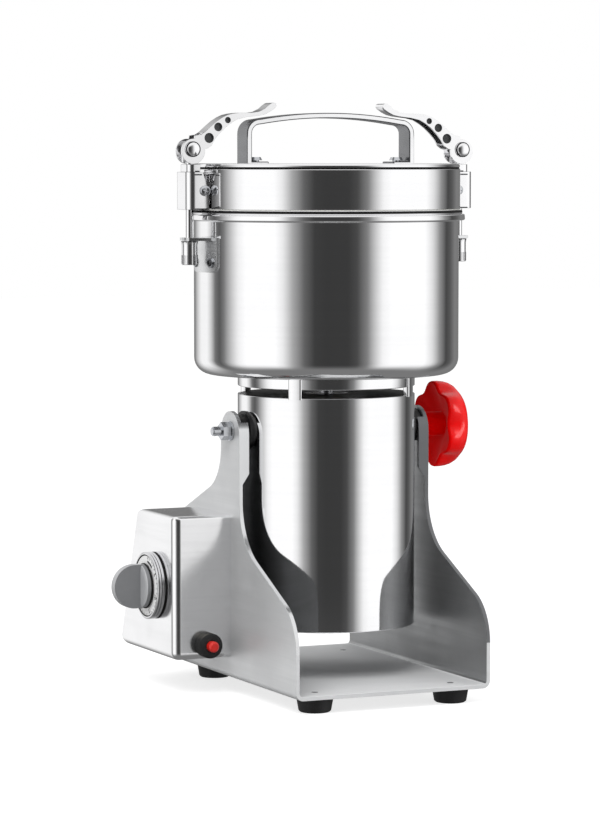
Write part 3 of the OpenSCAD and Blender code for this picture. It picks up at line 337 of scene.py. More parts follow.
def make_moulding():
    """The fine pebbled skin of moulded plastic and rubber."""
    tree, given, result = new_group(
        "Shader", "moulded skin", [("Place", "Vector"), ("Pebbles per metre", "Float", 1400.0)],
        [("Pebbles", "Float"), ("Shade", "Float")],
    )
    sockets = {"Vector": given["Place"], "Scale": given["Pebbles per metre"]}
    cells = add_node(tree, "TexVoronoi", sockets, feature="SMOOTH_F1")
    feed(tree, result["Pebbles"], cells["Distance"])
    feed(tree, result["Shade"], spread(tree, noise(tree, given["Place"], 3.0, scale=55.0), 0.35, 0.7))
    return tree


def make_dust():
    """Dust that settles on faces turned up."""
    tree, given, result = new_group(
        "Shader", "settled dust", [("Place", "Vector"), ("Facing", "Vector")], [("Dust", "Float")])
    facing = add_node(tree, "SeparateXYZ", {0: given["Facing"]})
    up = spread(tree, facing["Z"], 0.45, 0.98)
    patchy = spread(tree, noise(tree, given["Place"], 6.0, 0.7, 90.0), 0.35, 0.75)
    feed(tree, result["Dust"], worked_out(tree, "MULTIPLY", up, patchy))
    return tree


GRAIN, HANDLING, MOULDING, DUST = make_grain(), make_handling(), make_moulding(), make_dust()
FLOUR_DUST = screen(205, 198, 184)


def use_effect(tree, group, **values):
    """The outlets of an effect in a material."""
    sockets = {label.replace("_", " "): value for label, value in values.items()}
    return add_node(tree, "Group", sockets, node_tree=group)


def blended(tree, factor, strength, first, second):
    """Colour first turned towards second by factor times strength."""
    return mixed(tree, worked_out(tree, "MULTIPLY", factor, strength), first, second)


def start_finish(name, tone, shade):
    """A material, its tree and shader, the surface's coordinates, its colour and a darker one."""
    material = bpy.data.materials.new(name)
    material.use_nodes = True
    tree = material.node_tree
    coords = add_node(tree, "TexCoord")
    colour = screen(*tone)
    darker = tuple(c * (1 - shade) for c in colour[:3]) + (1.0,)
    return material, tree, tree.nodes["Principled BSDF"], coords, colour, darker


def end_finish(tree, shader, coords, colour, dust, rough, parts, height, strength, depth):
    """Dust on the colour, the roughness with its parts, and the bumps."""
    if dust:
        fallen = use_effect(tree, DUST, Place=coords["Object"], Facing=coords["Normal"])
        colour = blended(tree, fallen["Dust"], dust, colour, FLOUR_DUST)
    for value, amount in parts:
        rough = worked_out(tree, "MULTIPLY_ADD", value, amount, rough)
    bump = add_node(tree, "Bump", {"Strength": strength, "Distance": depth, "Height": height})
    for label, value in (("Base Color", colour), ("Roughness", rough), ("Normal", bump[0])):
        feed(tree, shader.inputs[label], value)


def metal_finish(name, tone, rough, lines, line_bump, streak, smudge, shade, dust=0.0, metal=1.0):
    material, tree, shader, coords, colour, darker = start_finish(name, tone, shade)
    grain = use_effect(tree, GRAIN, Place=coords["Object"], Lines_per_metre=lines)
    marks = use_effect(tree, HANDLING, Place=coords["Object"])
    colour = blended(tree, marks["Blotches"], 0.6, colour, darker)
    colour = blended(tree, grain["Streaks"], 0.5, colour, darker)
    shader.inputs["Metallic"].default_value = metal
    parts = [(grain["Streaks"], streak), (marks["Blotches"], smudge), (marks["Specks"], 0.05)]
    end_finish(tree, shader, coords, colour, dust, rough, parts, grain["Lines"], line_bump, 0.2 * MM)
    return material


def plastic_finish(name, tone, rough, pebbles, pebble_bump, shade, scuff, coat=0.0, dust=0.05, sheen=0.5):
    material, tree, shader, coords, tone, darker = start_finish(name, tone, shade)
    skin = use_effect(tree, MOULDING, Place=coords["Object"], Pebbles_per_metre=pebbles)
    marks = use_effect(tree, HANDLING, Place=coords["Object"])
    colour = blended(tree, skin["Shade"], 0.7, tone, darker)
    paler = tuple(min(1.0, c * 0.9 + 0.06) for c in tone[:3]) + (1.0,)
    colour = blended(tree, marks["Specks"], 0.35, colour, paler)
    shader.inputs["Metallic"].default_value = 0.0
    shader.inputs["Specular IOR Level"].default_value = sheen
    if coat:
        shader.inputs["Coat Weight"].default_value = coat
        shader.inputs["Coat Roughness"].default_value = 0.06
    parts = [(marks["Blotches"], scuff), (skin["Shade"], scuff / 2)]
    end_finish(tree, shader, coords, colour, dust, rough, parts, skin["Pebbles"], pebble_bump, 0.1 * MM)
    return material


# A metal's row: words, screen colour, roughness, grain lines per metre and their bump, streaks,
# smudges, shade of the marks, then dust and metallic share where they differ
SATIN = ((70, 70, 2600), 0.05, 0.05, 0.05, 0.08)
EDGE = ((400, 400, 400), 0.03, 0.03, 0.04, 0.04)
METALS = {
    "polished_steel": ("polished steel", (247, 247, 248), 0.045, (50, 50, 3200), 0.012, 0.02, 0.03, 0.04),
    "satin_steel": ("satin steel", (228, 229, 230), 0.42, *SATIN, 0.03, 0.6),
    # Copies of the satin steel with painted light and shade: the plate painted lighter, the inner walls and
    # cut edges painted darker, one upright's edges a painted highlight and the other's painted shade
    "plate_painted_light": ("satin floor plate with painted light", (238, 239, 240), 0.55, *SATIN, 0.03, 0.35),
    "inner_wall_painted_shade": ("satin inner wall with painted shade", (174, 175, 176), 0.42, *SATIN),
    "deep_painted_shade": ("steel with deep painted shade", (96, 97, 98), 0.5, *SATIN),
    "cut_edge_painted_shade": ("cut edge with painted shade", (138, 139, 141), 0.42, *EDGE),
    "left_edge_painted_highlight": ("upright edge with painted highlight", (234, 235, 236), 0.2, (400, 400, 400), 0.02, 0.02, 0.02, 0.02),
    "right_edge_painted_shade": ("upright edge with painted shade", (124, 125, 127), 0.36, *EDGE),
    "box_steel": ("box steel", (250, 250, 251), 0.16, (70, 70, 2400), 0.02, 0.03, 0.04, 0.04, 0.03),
    "latch_steel": ("latch steel", (249, 249, 250), 0.09, (240, 240, 900), 0.02, 0.03, 0.04, 0.04),
    # Painted shade for outlines on rounded edges, thin lines along parts and dark rivet holes
    "rim_painted_shade": ("rim with painted shade", (86, 87, 89), 0.3, *EDGE),
    "catch_steel": ("pressed catch", (226, 227, 228), 0.24, (240, 240, 900), 0.03, 0.04, 0.05, 0.06),
    "strip_steel": ("brushed strip", (136, 137, 139), 0.26, (900, 60, 900), 0.06, 0.05, 0.06, 0.1),
    "dial_ring": ("turned dial ring", (226, 226, 228), 0.16, (300, 1500, 1500), 0.05, 0.04, 0.05, 0.06),
    "zinc_screw": ("zinc plated screws", (206, 208, 212), 0.18, (900, 900, 900), 0.04, 0.04, 0.06, 0.12),
    "cast_alloy": ("cast alloy", (168, 169, 171), 0.42, (900, 900, 900), 0.25, 0.05, 0.08, 0.15),
    "core_steel": ("core steel", (112, 113, 118), 0.45, (60, 60, 4000), 0.3, 0.05, 0.08, 0.2),
    "copper": ("copper wire", (201, 120, 72), 0.3, (60, 60, 1800), 0.5, 0.05, 0.08, 0.15),
    "brass": ("brass", (196, 164, 92), 0.3, (700, 700, 700), 0.08, 0.05, 0.08, 0.15),
    "shaft_steel": ("ground shaft steel", (196, 197, 200), 0.2, (60, 60, 3000), 0.06, 0.05, 0.06, 0.1),
    "blade_steel": ("blade steel", (214, 215, 218), 0.16, (1800, 60, 60), 0.06, 0.05, 0.08, 0.1),
}
# A plastic's row: words, screen colour, roughness, pebbles per metre and their bump, shade of the
# skin, scuffs, then clear coat, dust and sheen where they differ
PLASTICS = {
    "rubber": ("black rubber", (30, 30, 31), 0.62, 1800.0, 0.25, 0.3, 0.08, 0.0, 0.18),
    "moulded_black": ("black moulding", (26, 26, 27), 0.38, 1500.0, 0.12, 0.3, 0.06, 0.0, 0.08),
    "dial": ("white dial", (250, 250, 250), 0.32, 1200.0, 0.04, 0.05, 0.05, 0.0, 0.0),
    "knob_grey": ("grey knob", (178, 179, 181), 0.34, 1500.0, 0.1, 0.1, 0.05, 0.0, 0.03),
    # A darker copy of the knob's grey, painted shade on its sides
    "knob_painted_shade": ("grey knob side", (122, 123, 125), 0.4, 1500.0, 0.1, 0.1, 0.05, 0.0, 0.0, 0.3),
    "button_red": ("red button", (206, 34, 26), 0.28, 1500.0, 0.06, 0.2, 0.05, 0.2, 0.03),
    "lock_red": ("glossy red knob", (255, 3, 4), 0.15, 900.0, 0.02, 0.04, 0.03, 0.0, 0.0, 0.26),
    # A darker, duller copy of the red, painted shade on the knob's back
    "lock_back_painted_shade": ("red knob back", (244, 2, 3), 0.5, 900.0, 0.04, 0.1, 0.04, 0.0, 0.0, 0.03),
    "carbon": ("carbon", (38, 38, 40), 0.5, 2600.0, 0.3, 0.3, 0.06),
    "silicone": ("silicone", (205, 205, 200), 0.45, 1500.0, 0.08, 0.1, 0.05, 0.0, 0.03),
    "print": ("dial print", (34, 34, 38), 0.4, 1500.0, 0.04, 0.2, 0.04, 0.0, 0.0),
    # Black painted as shadow in grooves, gaps and at the feet of parts
    "shadow_black": ("dark slot", (14, 14, 14), 0.6, 1500.0, 0.1, 0.2, 0.05, 0.0, 0.0, 0.2),
}
FINISH = {key: metal_finish(*row) for key, row in METALS.items()}
FINISH.update({key: plastic_finish(*row) for key, row in PLASTICS.items()})


# Making pieces
def arc_points(centre, radius, start, end, steps):
    angles = [math.radians(start + (end - start) * i / steps) for i in range(steps + 1)]
    return [(centre[0] + radius * math.cos(a), centre[1] + radius * math.sin(a)) for a in angles]


def circle(centre, radius, steps):
    return arc_points(centre, radius, 0, 360, steps)[:-1]


def softened(points, steps=6):
    """A closed outline whose corners are rounded. A point is (x, y) or (x, y, radius)."""
    result = []
    for i, point in enumerate(points):
        radius = point[2] if len(point) > 2 else 0.0
        if not radius:
            result.append((point[0], point[1]))
            continue
        here = Vector(point[:2])
        before = Vector(points[i - 1][:2]) - here
        after = Vector(points[(i + 1) % len(points)][:2]) - here
        half = before.angle(after) / 2
        back = min(radius / math.tan(half), before.length * 0.499, after.length * 0.499)
        start, end = here + before.normalized() * back, here + after.normalized() * back
        inwards = (before.normalized() + after.normalized()).normalized()
        centre = here + inwards * (back * math.tan(half) / math.sin(half))
        first, last = start - centre, end - centre
        turn = first.angle_signed(last)
        for k in range(steps + 1):
            result.append(tuple(centre + Matrix.Rotation(-turn * k / steps, 2) @ first))
    return result


def finish_piece(name, bm, body, finish, hides=(), edge=32.0):
    """A made mesh, in metres and in place, becomes a piece that rides on a body."""
    bmesh.ops.remove_doubles(bm, verts=bm.verts, dist=1e-7)
    bmesh.ops.recalc_face_normals(bm, faces=bm.faces)
    for face in bm.faces:
        face.smooth = True
    limit = math.radians(edge)
    for line in bm.edges:
        line.smooth = len(line.link_faces) == 2 and line.calc_face_angle(0.0) < limit
    piece = new_object(name, mesh_of(name, bm))
    piece.data.materials.append(FINISH[finish])
    if hides:
        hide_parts(*hides)
    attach(piece, body)
    return piece


def second_finish(piece, finish, chosen):
    """One more finish, on the faces that chosen(normal, middle) picks out."""
    piece.data.materials.append(FINISH[finish])
    for face in piece.data.polygons:
        if chosen(face.normal, face.center):
            face.material_index = len(piece.data.materials) - 1


def round_edges(piece, width, segments, angle=35.0):
    """Rounds a piece's sharp edges by a width in millimetres."""
    bevel = piece.modifiers.new("rounded edges", "BEVEL")
    bevel.width = width * MM
    bevel.segments = segments
    bevel.limit_method = "ANGLE"
    bevel.angle_limit = math.radians(angle)
    bevel.harden_normals = True
    bevel.use_clamp_overlap = True


def rim_finish(piece, finish):
    """A finish of its own on the rounded edges."""
    piece.data.materials.append(FINISH[finish])
    piece.modifiers[-1].material = len(piece.data.materials) - 1


def skin(bm, rings, closed):
    """Faces between rings of points, of which a ring of one point is a tip."""
    for first, second in list(zip(rings, rings[1:])) + ([(rings[-1], rings[0])] if closed else []):
        steps = max(len(first), len(second))
        for k in range(steps if steps > 1 else 0):
            m = (k + 1) % steps
            corners = ((first, k), (first, m), (second, m), (second, k))
            bm.faces.new(list(dict.fromkeys(ring[i % len(ring)] for ring, i in corners)))


def turned(profile, steps=128, lay=place, closed=True):
    """A profile of (radius, height) turned about an axis. lay gives the place of (u, v, height)."""
    bm = bmesh.new()
    angles = [2 * math.pi * k / steps for k in range(steps)]
    rings = []
    for radius, height in profile:
        around = angles if radius >= 1e-6 else angles[:1]
        spots = [(radius * math.cos(a), radius * math.sin(a)) for a in around]
        rings.append([bm.verts.new(lay(u, v, height)) for u, v in spots])
    skin(bm, rings, closed)
    return bm


def slab(outline, low, high, lay, bm=None):
    """An outline made solid from low to high, in a mesh of its own unless one is given."""
    bm = bmesh.new() if bm is None else bm
    flat = bmesh.new()
    dots = [flat.verts.new((u, v, 0.0)) for u, v in outline]
    lines = [flat.edges.new((dots[i], dots[(i + 1) % len(dots)])) for i in range(len(dots))]
    bmesh.ops.triangle_fill(flat, use_beauty=True, use_dissolve=False, edges=lines)
    bottoms, tops = {}, {}
    for dot in flat.verts:
        bottoms[dot] = bm.verts.new(lay(dot.co.x, dot.co.y, low))
        tops[dot] = bm.verts.new(lay(dot.co.x, dot.co.y, high))
    for face in flat.faces:
        bm.faces.new([bottoms[d] for d in face.verts])
        bm.faces.new([tops[d] for d in reversed(face.verts)])
    for line in flat.edges:
        if len(line.link_faces) == 1:
            a, b = line.verts
            bm.faces.new([bottoms[a], bottoms[b], tops[b], tops[a]])
    flat.free()
    return bm


def across_y(u, v, w):
    """Outline in X and Z, thickness along Y."""
    return place(u, w, v)


def copied(name, node, finish, width, rim=None, segments=2):
    """A CAD solid's own shape, with its flat faces joined and its edges rounded."""
    source = frame["nodes"][node]
    bm = bmesh.new()
    bm.from_mesh(source.data)
    bmesh.ops.remove_doubles(bm, verts=bm.verts, dist=2e-6)
    bmesh.ops.dissolve_limit(
        bm, angle_limit=math.radians(0.8), verts=bm.verts, edges=bm.edges, use_dissolve_boundaries=False,
        delimit={"NORMAL"},
    )
    piece = finish_piece(name, bm, source["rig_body"], finish, (node,))
    round_edges(piece, width, segments)
    if rim:
        rim_finish(piece, rim)
    return piece


# Small pieces that repeat
GEOMETRY = [("Geometry", "Geometry")]
COPY_INPUTS = GEOMETRY + [("Item", "Object"), ("Item size", "Float"), ("Finish", "Material")]


def copies_of(tree, given, points, turn):
    """Copies of the item on the points, made real, with the finish set."""
    item = add_node(tree, "GeometryNodeObjectInfo", {"Object": given["Item"]})["Geometry"]
    sockets = {"Points": points, "Instance": item, "Rotation": turn, "Scale": given["Item size"]}
    copies = add_node(tree, "GeometryNodeInstanceOnPoints", sockets)["Instances"]
    real = add_node(tree, "GeometryNodeRealizeInstances", {0: copies})[0]
    sockets = {"Geometry": real, "Material": given["Finish"]}
    return add_node(tree, "GeometryNodeSetMaterial", sockets)[0]


def make_ring_tree():
    """Copies of an item round a ring, the item's X pointing outwards."""
    tree, given, result = new_group("Geometry", "copies round a ring", COPY_INPUTS + [
        ("Count", "Int"), ("Radius", "Float"), ("First angle", "Float"), ("Step angle", "Float"),
    ], GEOMETRY)
    index = add_node(tree, "GeometryNodeInputIndex")[0]
    turned_on = worked_out(tree, "MULTIPLY", index, given["Step angle"])
    angle = worked_out(tree, "ADD", turned_on, given["First angle"])
    spot = add_node(tree, "CombineXYZ", {
        way: worked_out(tree, "MULTIPLY", worked_out(tree, operation, angle), given["Radius"])
        for operation, way in (("COSINE", "X"), ("SINE", "Y"))
    })[0]
    points = add_node(tree, "GeometryNodePoints", {"Count": given["Count"]})[0]
    moved = add_node(tree, "GeometryNodeSetPosition", {"Geometry": points, "Position": spot})[0]
    turn = add_node(tree, "CombineXYZ", {"Z": angle})[0]
    feed(tree, result["Geometry"], copies_of(tree, given, moved, turn))
    return tree


def make_fixing_tree():
    """Copies of a fixing at marked points, its Z along the point's facing, each turned its own way."""
    tree, given, result = new_group(
        "Geometry", "fixings at marked places", COPY_INPUTS + [("Turn seed", "Int")], GEOMETRY)
    points = add_node(tree, "GeometryNodeMeshToPoints", {"Mesh": given["Geometry"]})[0]
    named = add_node(tree, "GeometryNodeInputNamedAttribute", {"Name": "facing"}, data_type="FLOAT_VECTOR")
    facing = named["Attribute"]
    aim = add_node(tree, "FunctionNodeAlignRotationToVector", {"Vector": facing}, axis="Z")
    sockets = {3: math.pi, "Seed": given["Turn seed"]}
    chance = add_node(tree, "FunctionNodeRandomValue", sockets, data_type="FLOAT")
    own = add_node(tree, "FunctionNodeAxisAngleToRotation", {"Axis": (0, 0, 1), "Angle": chance[1]})
    sockets = {"Rotation": aim["Rotation"], "Rotate By": own["Rotation"]}
    turn = add_node(tree, "FunctionNodeRotateRotation", sockets, rotation_space="LOCAL")[0]
    feed(tree, result["Geometry"], copies_of(tree, given, points, turn))
    return tree


RING_TREE, FIXING_TREE = make_ring_tree(), make_fixing_tree()
items = []


def item_of(name, bm):
    """A small item to copy, in millimetres round its own origin."""
    bmesh.ops.remove_doubles(bm, verts=bm.verts, dist=1e-4)
    bmesh.ops.recalc_face_normals(bm, faces=bm.faces)
    items.append(new_object(name, mesh_of(name, bm)))
    return items[-1]


def run_tree(tree, base, item, size, finish, values):
    """The tree's result on a base mesh, as a bmesh."""
    values = {"Item": item, "Item size": float(size), "Finish": FINISH[finish], **values}
    holder = new_object("holder", base)
    modifier = holder.modifiers.new("copies", "NODES")
    modifier.node_group = tree
    for socket in tree.interface.items_tree:
        if socket.in_out == "INPUT" and socket.name in values:
            modifier[socket.identifier] = values[socket.name]
    graph = bpy.context.evaluated_depsgraph_get()
    made = bpy.data.meshes.new_from_object(
        holder.evaluated_get(graph), preserve_all_data_layers=True, depsgraph=graph)
    holder.modifiers.clear()
    bm = bmesh.new()
    bm.from_mesh(made)
    bpy.data.objects.remove(holder)
    bpy.data.meshes.remove(made)
    return bm


def ring_of(name, item, body, finish, lay, count, radius, first, step, height):
    bm = run_tree(RING_TREE, bpy.data.meshes.new("no points"), item, 1, finish, {
        "Count": count, "Radius": float(radius), "First angle": math.radians(first),
        "Step angle": math.radians(step),
    })
    for dot in bm.verts:
        dot.co = lay(dot.co.x, dot.co.y, dot.co.z + height)
    return finish_piece(name, bm, body, finish, edge=30)


def fixings(name, item, body, finish, marks, size, seed):
    """marks are (place, facing) pairs, the places in millimetres from the bowl's axis."""
    base = bpy.data.meshes.new("marks")
    base.from_pydata([spot for spot, way in marks], [], [])
    facing = base.attributes.new("facing", "FLOAT_VECTOR", "POINT")
    facing.data.foreach_set("vector", [c for spot, way in marks for c in way])
    bm = run_tree(FIXING_TREE, base, item, size, finish, {"Turn seed": seed})
    for dot in bm.verts:
        dot.co = place(*dot.co)
    return finish_piece(name, bm, body, finish, edge=40)


def plain_lay(u, v, w):
    return Vector((u, v, w))


def cross_head():
    """A domed screw head of radius 1 with a cross recess."""
    foot, rise, sunk = 0.12, 0.34, 0.05
    dome = [(x, foot + rise * y) for x, y in arc_points((0, 0), 1.0, 15, 75, 4)]
    outline = [(0.0, -sunk), (1.0, -sunk), (1.0, foot)] + dome + [(0.0, foot + rise)]
    head = item_of("cross head", turned(outline, 40, plain_lay, closed=False))
    arm, half = 0.62, 0.13
    cross, corners = [], [(arm, -half), (arm, half), (half, half)]
    for _ in range(4):
        cross += corners
        corners = [(-y, x) for x, y in corners]
    cutter = item_of("cross cutter", slab(cross, 0.14, 1.0, plain_lay))
    recess = head.modifiers.new("recess", "BOOLEAN")
    recess.object = cutter
    recess.solver = "EXACT"
    graph = bpy.context.evaluated_depsgraph_get()
    made = bpy.data.meshes.new_from_object(head.evaluated_get(graph))
    head.modifiers.clear()
    head.data = made
    bpy.data.objects.remove(items.pop())
    return head


def hollow_rivet():
    """A blind rivet's domed head of radius 1, with the hole that its pin leaves."""
    outline = [(0.34, -0.05), (1.0, -0.05), (1.0, 0.16, 0.1), (0.72, 0.4, 0.15), (0.34, 0.42, 0.05)]
    return item_of("hollow rivet", turned(softened(outline, steps=3), 32, plain_lay))


def small_block(name, length, width, height):
    outline = rectangle(-length / 2, length / 2, -width / 2, width / 2)
    return item_of(name, slab(outline, 0.0, height, plain_lay))


# The bowl and the lid
BOWL_R, BOWL_WALL = 85.0, 1.5
LID_R, LID_WALL, LID_BEAD = 86.0, 1.4, 1.35
LID_DISH = 0.8
bowl_low, bowl_high = span("bowl", 2)
lid_low, lid_high = span("lid_shell", 2)
lid_face = lid_high - LID_DISH


def make_bowl():
    """A deep bowl with a wide band, a bead above it and a rolled rim."""
    band, bead = bowl_high - 7.0, bowl_high - 3.0
    profile = softened([
        (10.0, bowl_low, 0.3), (BOWL_R, bowl_low, 10.5), (BOWL_R, band, 0.5),
        (BOWL_R + 4.0, band + 0.2, 1.0), (BOWL_R + 3.7, bead, 0.8), (BOWL_R + 1.7, bead, 0.4),
        (BOWL_R + 2.5, bead + 1.4, 0.9), (BOWL_R + 1.4, bowl_high, 0.9),
        (BOWL_R - BOWL_WALL, bowl_high, 0.7), (BOWL_R - BOWL_WALL, bowl_low + 2.0, 9.0),
        (10.0, bowl_low + 2.0, 0.3),
    ], steps=8)
    piece = finish_piece("bowl_shell", turned(profile, 256), "mill", "polished_steel", ("bowl",), edge=50)
    # Painted shadow: the rolled rim's outer face above the bead is painted black, as the shade under the
    # lid's edge
    low, high, beyond = (bead + 1.2) * MM, (bowl_high - 0.3) * MM, BOWL_R + 1.0
    second_finish(piece, "shadow_black", lambda normal, middle: (
        low < middle.z < high and reach(middle) > beyond))


def make_lid():
    """A cover with a groove under the bead round its top, painted black as shadow, and dished inside it."""
    top, bead = lid_high, LID_BEAD
    outside = [
        (LID_R, lid_low, 0.5), (LID_R, top - 2 * bead - 1.2, 0.6), (LID_R - 0.9, top - 2 * bead - 0.3, 0.3),
        (LID_R - 0.75, top - 2 * bead + 0.25, 0.3), (LID_R - 0.3, top - 1.75 * bead, 0.6),
        (LID_R - 0.4, top - bead, 0.8), (LID_R - 0.8, top - 0.25 * bead, 0.7),
        (LID_R - bead - 0.3, top, 0.7), (LID_R - 2.4 * bead, top - 0.1, 0.6),
        (LID_R - 3.0 * bead, lid_face, 0.8), (0.0, lid_face),
    ]
    inside = [
        (0.0, lid_face - LID_WALL), (LID_R - 3.4 * bead, lid_face - LID_WALL, 1.2),
        (LID_R - LID_WALL, top - 4 * bead, 1.5), (LID_R - LID_WALL, lid_low, 0.4),
    ]
    bm = turned(softened(outside + inside, steps=5), 256)
    piece = finish_piece("lid_cover", bm, "mill", "polished_steel", ("lid_shell",), edge=50)
    # Painted shadow: the groove under the bead is painted black
    low, high, beyond = (top - 2 * bead - 0.95) * MM, (top - 1.8 * bead) * MM, LID_R - 1.2
    second_finish(piece, "shadow_black", lambda normal, middle: (
        low < middle.z < high and reach(middle) > beyond))


HANDLE_X, HANDLE_H, HANDLE_T, HANDLE_W = 58.8, 33.0, 3.4, 16.4
HANDLE_BEND, HANDLE_SAG = 9.0, 4.2
HANDLE_FOOT, HANDLE_FOOT_T = 15.0, 2.0


def handle_line(grow):
    """Outline of the handle's strip, from the left foot over the crown to the right foot."""
    x, h, r = HANDLE_X - grow, HANDLE_H - grow, HANDLE_BEND - grow
    crown = ((HANDLE_X - HANDLE_BEND) ** 2 + HANDLE_SAG ** 2) / (2 * HANDLE_SAG)
    bend_z = h - HANDLE_SAG - r
    a = math.degrees(math.asin((x - r) / (crown - r - grow)))
    return (
        [(-x, 0.0)] + arc_points((-x + r, bend_z), r, 180, 90 + a, 10)
        + arc_points((0, h - crown + grow), crown - grow, 90 + a, 90 - a, 40)[1:-1]
        + arc_points((x - r, bend_z), r, 90 - a, 0, 10) + [(x, 0.0)]
    )


def make_handle():
    inner = [(x, max(z, HANDLE_FOOT_T)) for x, z in handle_line(HANDLE_T)]
    toe = HANDLE_X - HANDLE_FOOT
    loop = (
        handle_line(0.0) + [(toe, 0.0), (toe, HANDLE_FOOT_T)]
        + inner[::-1] + [(-toe, HANDLE_FOOT_T), (-toe, 0.0)]
    )
    bm = slab([(x, z + lid_face) for x, z in loop], -HANDLE_W / 2, HANDLE_W / 2, across_y)
    piece = finish_piece("lid_strip_handle", bm, "mill", "strip_steel", ("lid_handle",), edge=40)
    second_finish(piece, "latch_steel", lambda normal, middle: abs(normal.y) > 0.7)
    round_edges(piece, 0.6, 3, 40)
    # Painted shade: the handle's rounded edges are painted dark as outlines
    rim_finish(piece, "rim_painted_shade")


make_bowl()
make_lid()
make_handle()


# The motor's tube and neck
TUBE_R, TUBE_WALL = 57.0, 1.5
NECK_IN, POST_IN, POST_OUT, POST_HALF = 42.0, TUBE_R - 3.2, TUBE_R + 0.8, 4.5


def make_tube():
    low, high = span("motor_housing", 2)
    bm = turned(softened([
        (TUBE_R, low, 0.7), (TUBE_R, high, 0.5), (TUBE_R - TUBE_WALL, high, 0.5),
        (TUBE_R - TUBE_WALL, low, 0.5),
    ], steps=5), 256)
    finish_piece("motor_tube", bm, "mill", "polished_steel", ("motor_housing",), edge=50)


def make_neck():
    """A ring under the bowl on four posts."""
    low, high = span("neck_ring", 2)
    ring_low = low + 5.1
    bm = turned(softened([
        (TUBE_R, ring_low, 0.6), (TUBE_R, high - 1.0, 0.3), (TUBE_R - 0.8, high, 0.3),
        (NECK_IN, high, 0.4), (NECK_IN, ring_low, 0.4),
    ], steps=5), 256)
    finish_piece("neck_band", bm, "mill", "polished_steel", ("neck_ring",), edge=50)
    bm = bmesh.new()
    post = softened([
        (POST_IN, -POST_HALF, 0.5), (POST_OUT, -POST_HALF, 1.2), (POST_OUT, POST_HALF, 1.2),
        (POST_IN, POST_HALF, 0.5),
    ])
    for turn in (45, 135, 225, 315):
        spin = Matrix.Rotation(math.radians(turn), 2)
        slab(post, low - 1.0, high, lambda u, v, w: place(*(spin @ Vector((u, v))), w), bm)
    piece = finish_piece("neck_posts", bm, "mill", "polished_steel")
    round_edges(piece, 0.4, 2)


make_tube()
make_neck()


# The control box and its controls
box_out, box_in = span("control_box", 0)
box_front, box_back = span("control_box", 1)
box_low, box_high = span("control_box", 2)
BOX_SLANT, BOX_ROUND = 33.0, 9.0
BOX_INNER_WEIGHT, BOX_TOE_WEIGHT, BOX_SEAM_WEIGHT = 0.0, 1.0, 0.08
BOX_BACK_TOP_WEIGHT, BOX_TOP_WEIGHT, BOX_FRONT_WEIGHT = 0.75, 0.3, 0.55


def make_box():
    """A steel box with rounded outer edges; the slanted back reaches further out below."""
    top_back = box_back - BOX_SLANT
    corners = [
        (box_front, box_low), (box_back, box_low), (top_back + 1.5, box_high), (box_front, box_high),
    ]
    bm = bmesh.new()
    outer, inner = ([bm.verts.new(place(x, y, z)) for y, z in corners] for x in (box_out, box_in))
    bm.faces.new(outer)
    bm.faces.new(inner[::-1])
    for i in range(4):
        k = (i + 1) % 4
        bm.faces.new([outer[k], outer[i], inner[i], inner[k]])
    piece = finish_piece("control_box_shell", bm, "base", "box_steel", ("control_box",), edge=30)
    inner_x = place(box_in, 0, 0).x
    weights = piece.data.attributes.new("bevel_weight_edge", "FLOAT", "EDGE")
    for line in piece.data.edges:
        ends = [piece.data.vertices[i].co for i in line.vertices]
        across = abs(ends[0].x - ends[1].x) > MM
        top = all(p.z > (box_high - 1) * MM for p in ends)
        if all(abs(p.x - inner_x) < 0.01 * MM for p in ends):
            weight = BOX_INNER_WEIGHT
        elif across and all(p.y > (box_back - 1) * MM for p in ends):
            weight = BOX_TOE_WEIGHT
        elif all(p.y > top_back * MM for p in ends):
            weight = BOX_BACK_TOP_WEIGHT if across and top else BOX_SEAM_WEIGHT
        else:
            weight = BOX_TOP_WEIGHT if top else BOX_FRONT_WEIGHT
        weights.data[line.index].value = weight
    round_edges(piece, BOX_ROUND, 8, 30)
    piece.modifiers[-1].limit_method = "WEIGHT"


DIAL_Y, DIAL_Z, DIAL_R = 32.5, 68.5, 21.5
DIAL_BORE, DIAL_FOOT, DIAL_PLATE_R, DIAL_FACE = 4.0, 0.9, 19.7, 5.5
FIRST_MARK, MARK_SWEEP, PRINT_T = 100.0, 300.0, 0.06


def dial_lay(u, v, w):
    """Turned shapes on the dial's axis, which points to the left from the box's wall."""
    return place(box_out - w, DIAL_Y + u, DIAL_Z + v)


def from_dial(point):
    """Distance from the dial's axis and from the box's wall, in millimetres."""
    return math.hypot(point.y / MM - DIAL_Y, point.z / MM - DIAL_Z), box_out - (point.x - AXIS_X) / MM


# Faces of the ring painted black as shade: its inner lip by the face and its two grooves
def in_painted_groove_shade(normal, middle):
    off_axis, off_wall = from_dial(middle)
    return off_axis < 19.9 or (off_axis < DIAL_R - 0.3 and 2.5 < off_wall < 5.05)


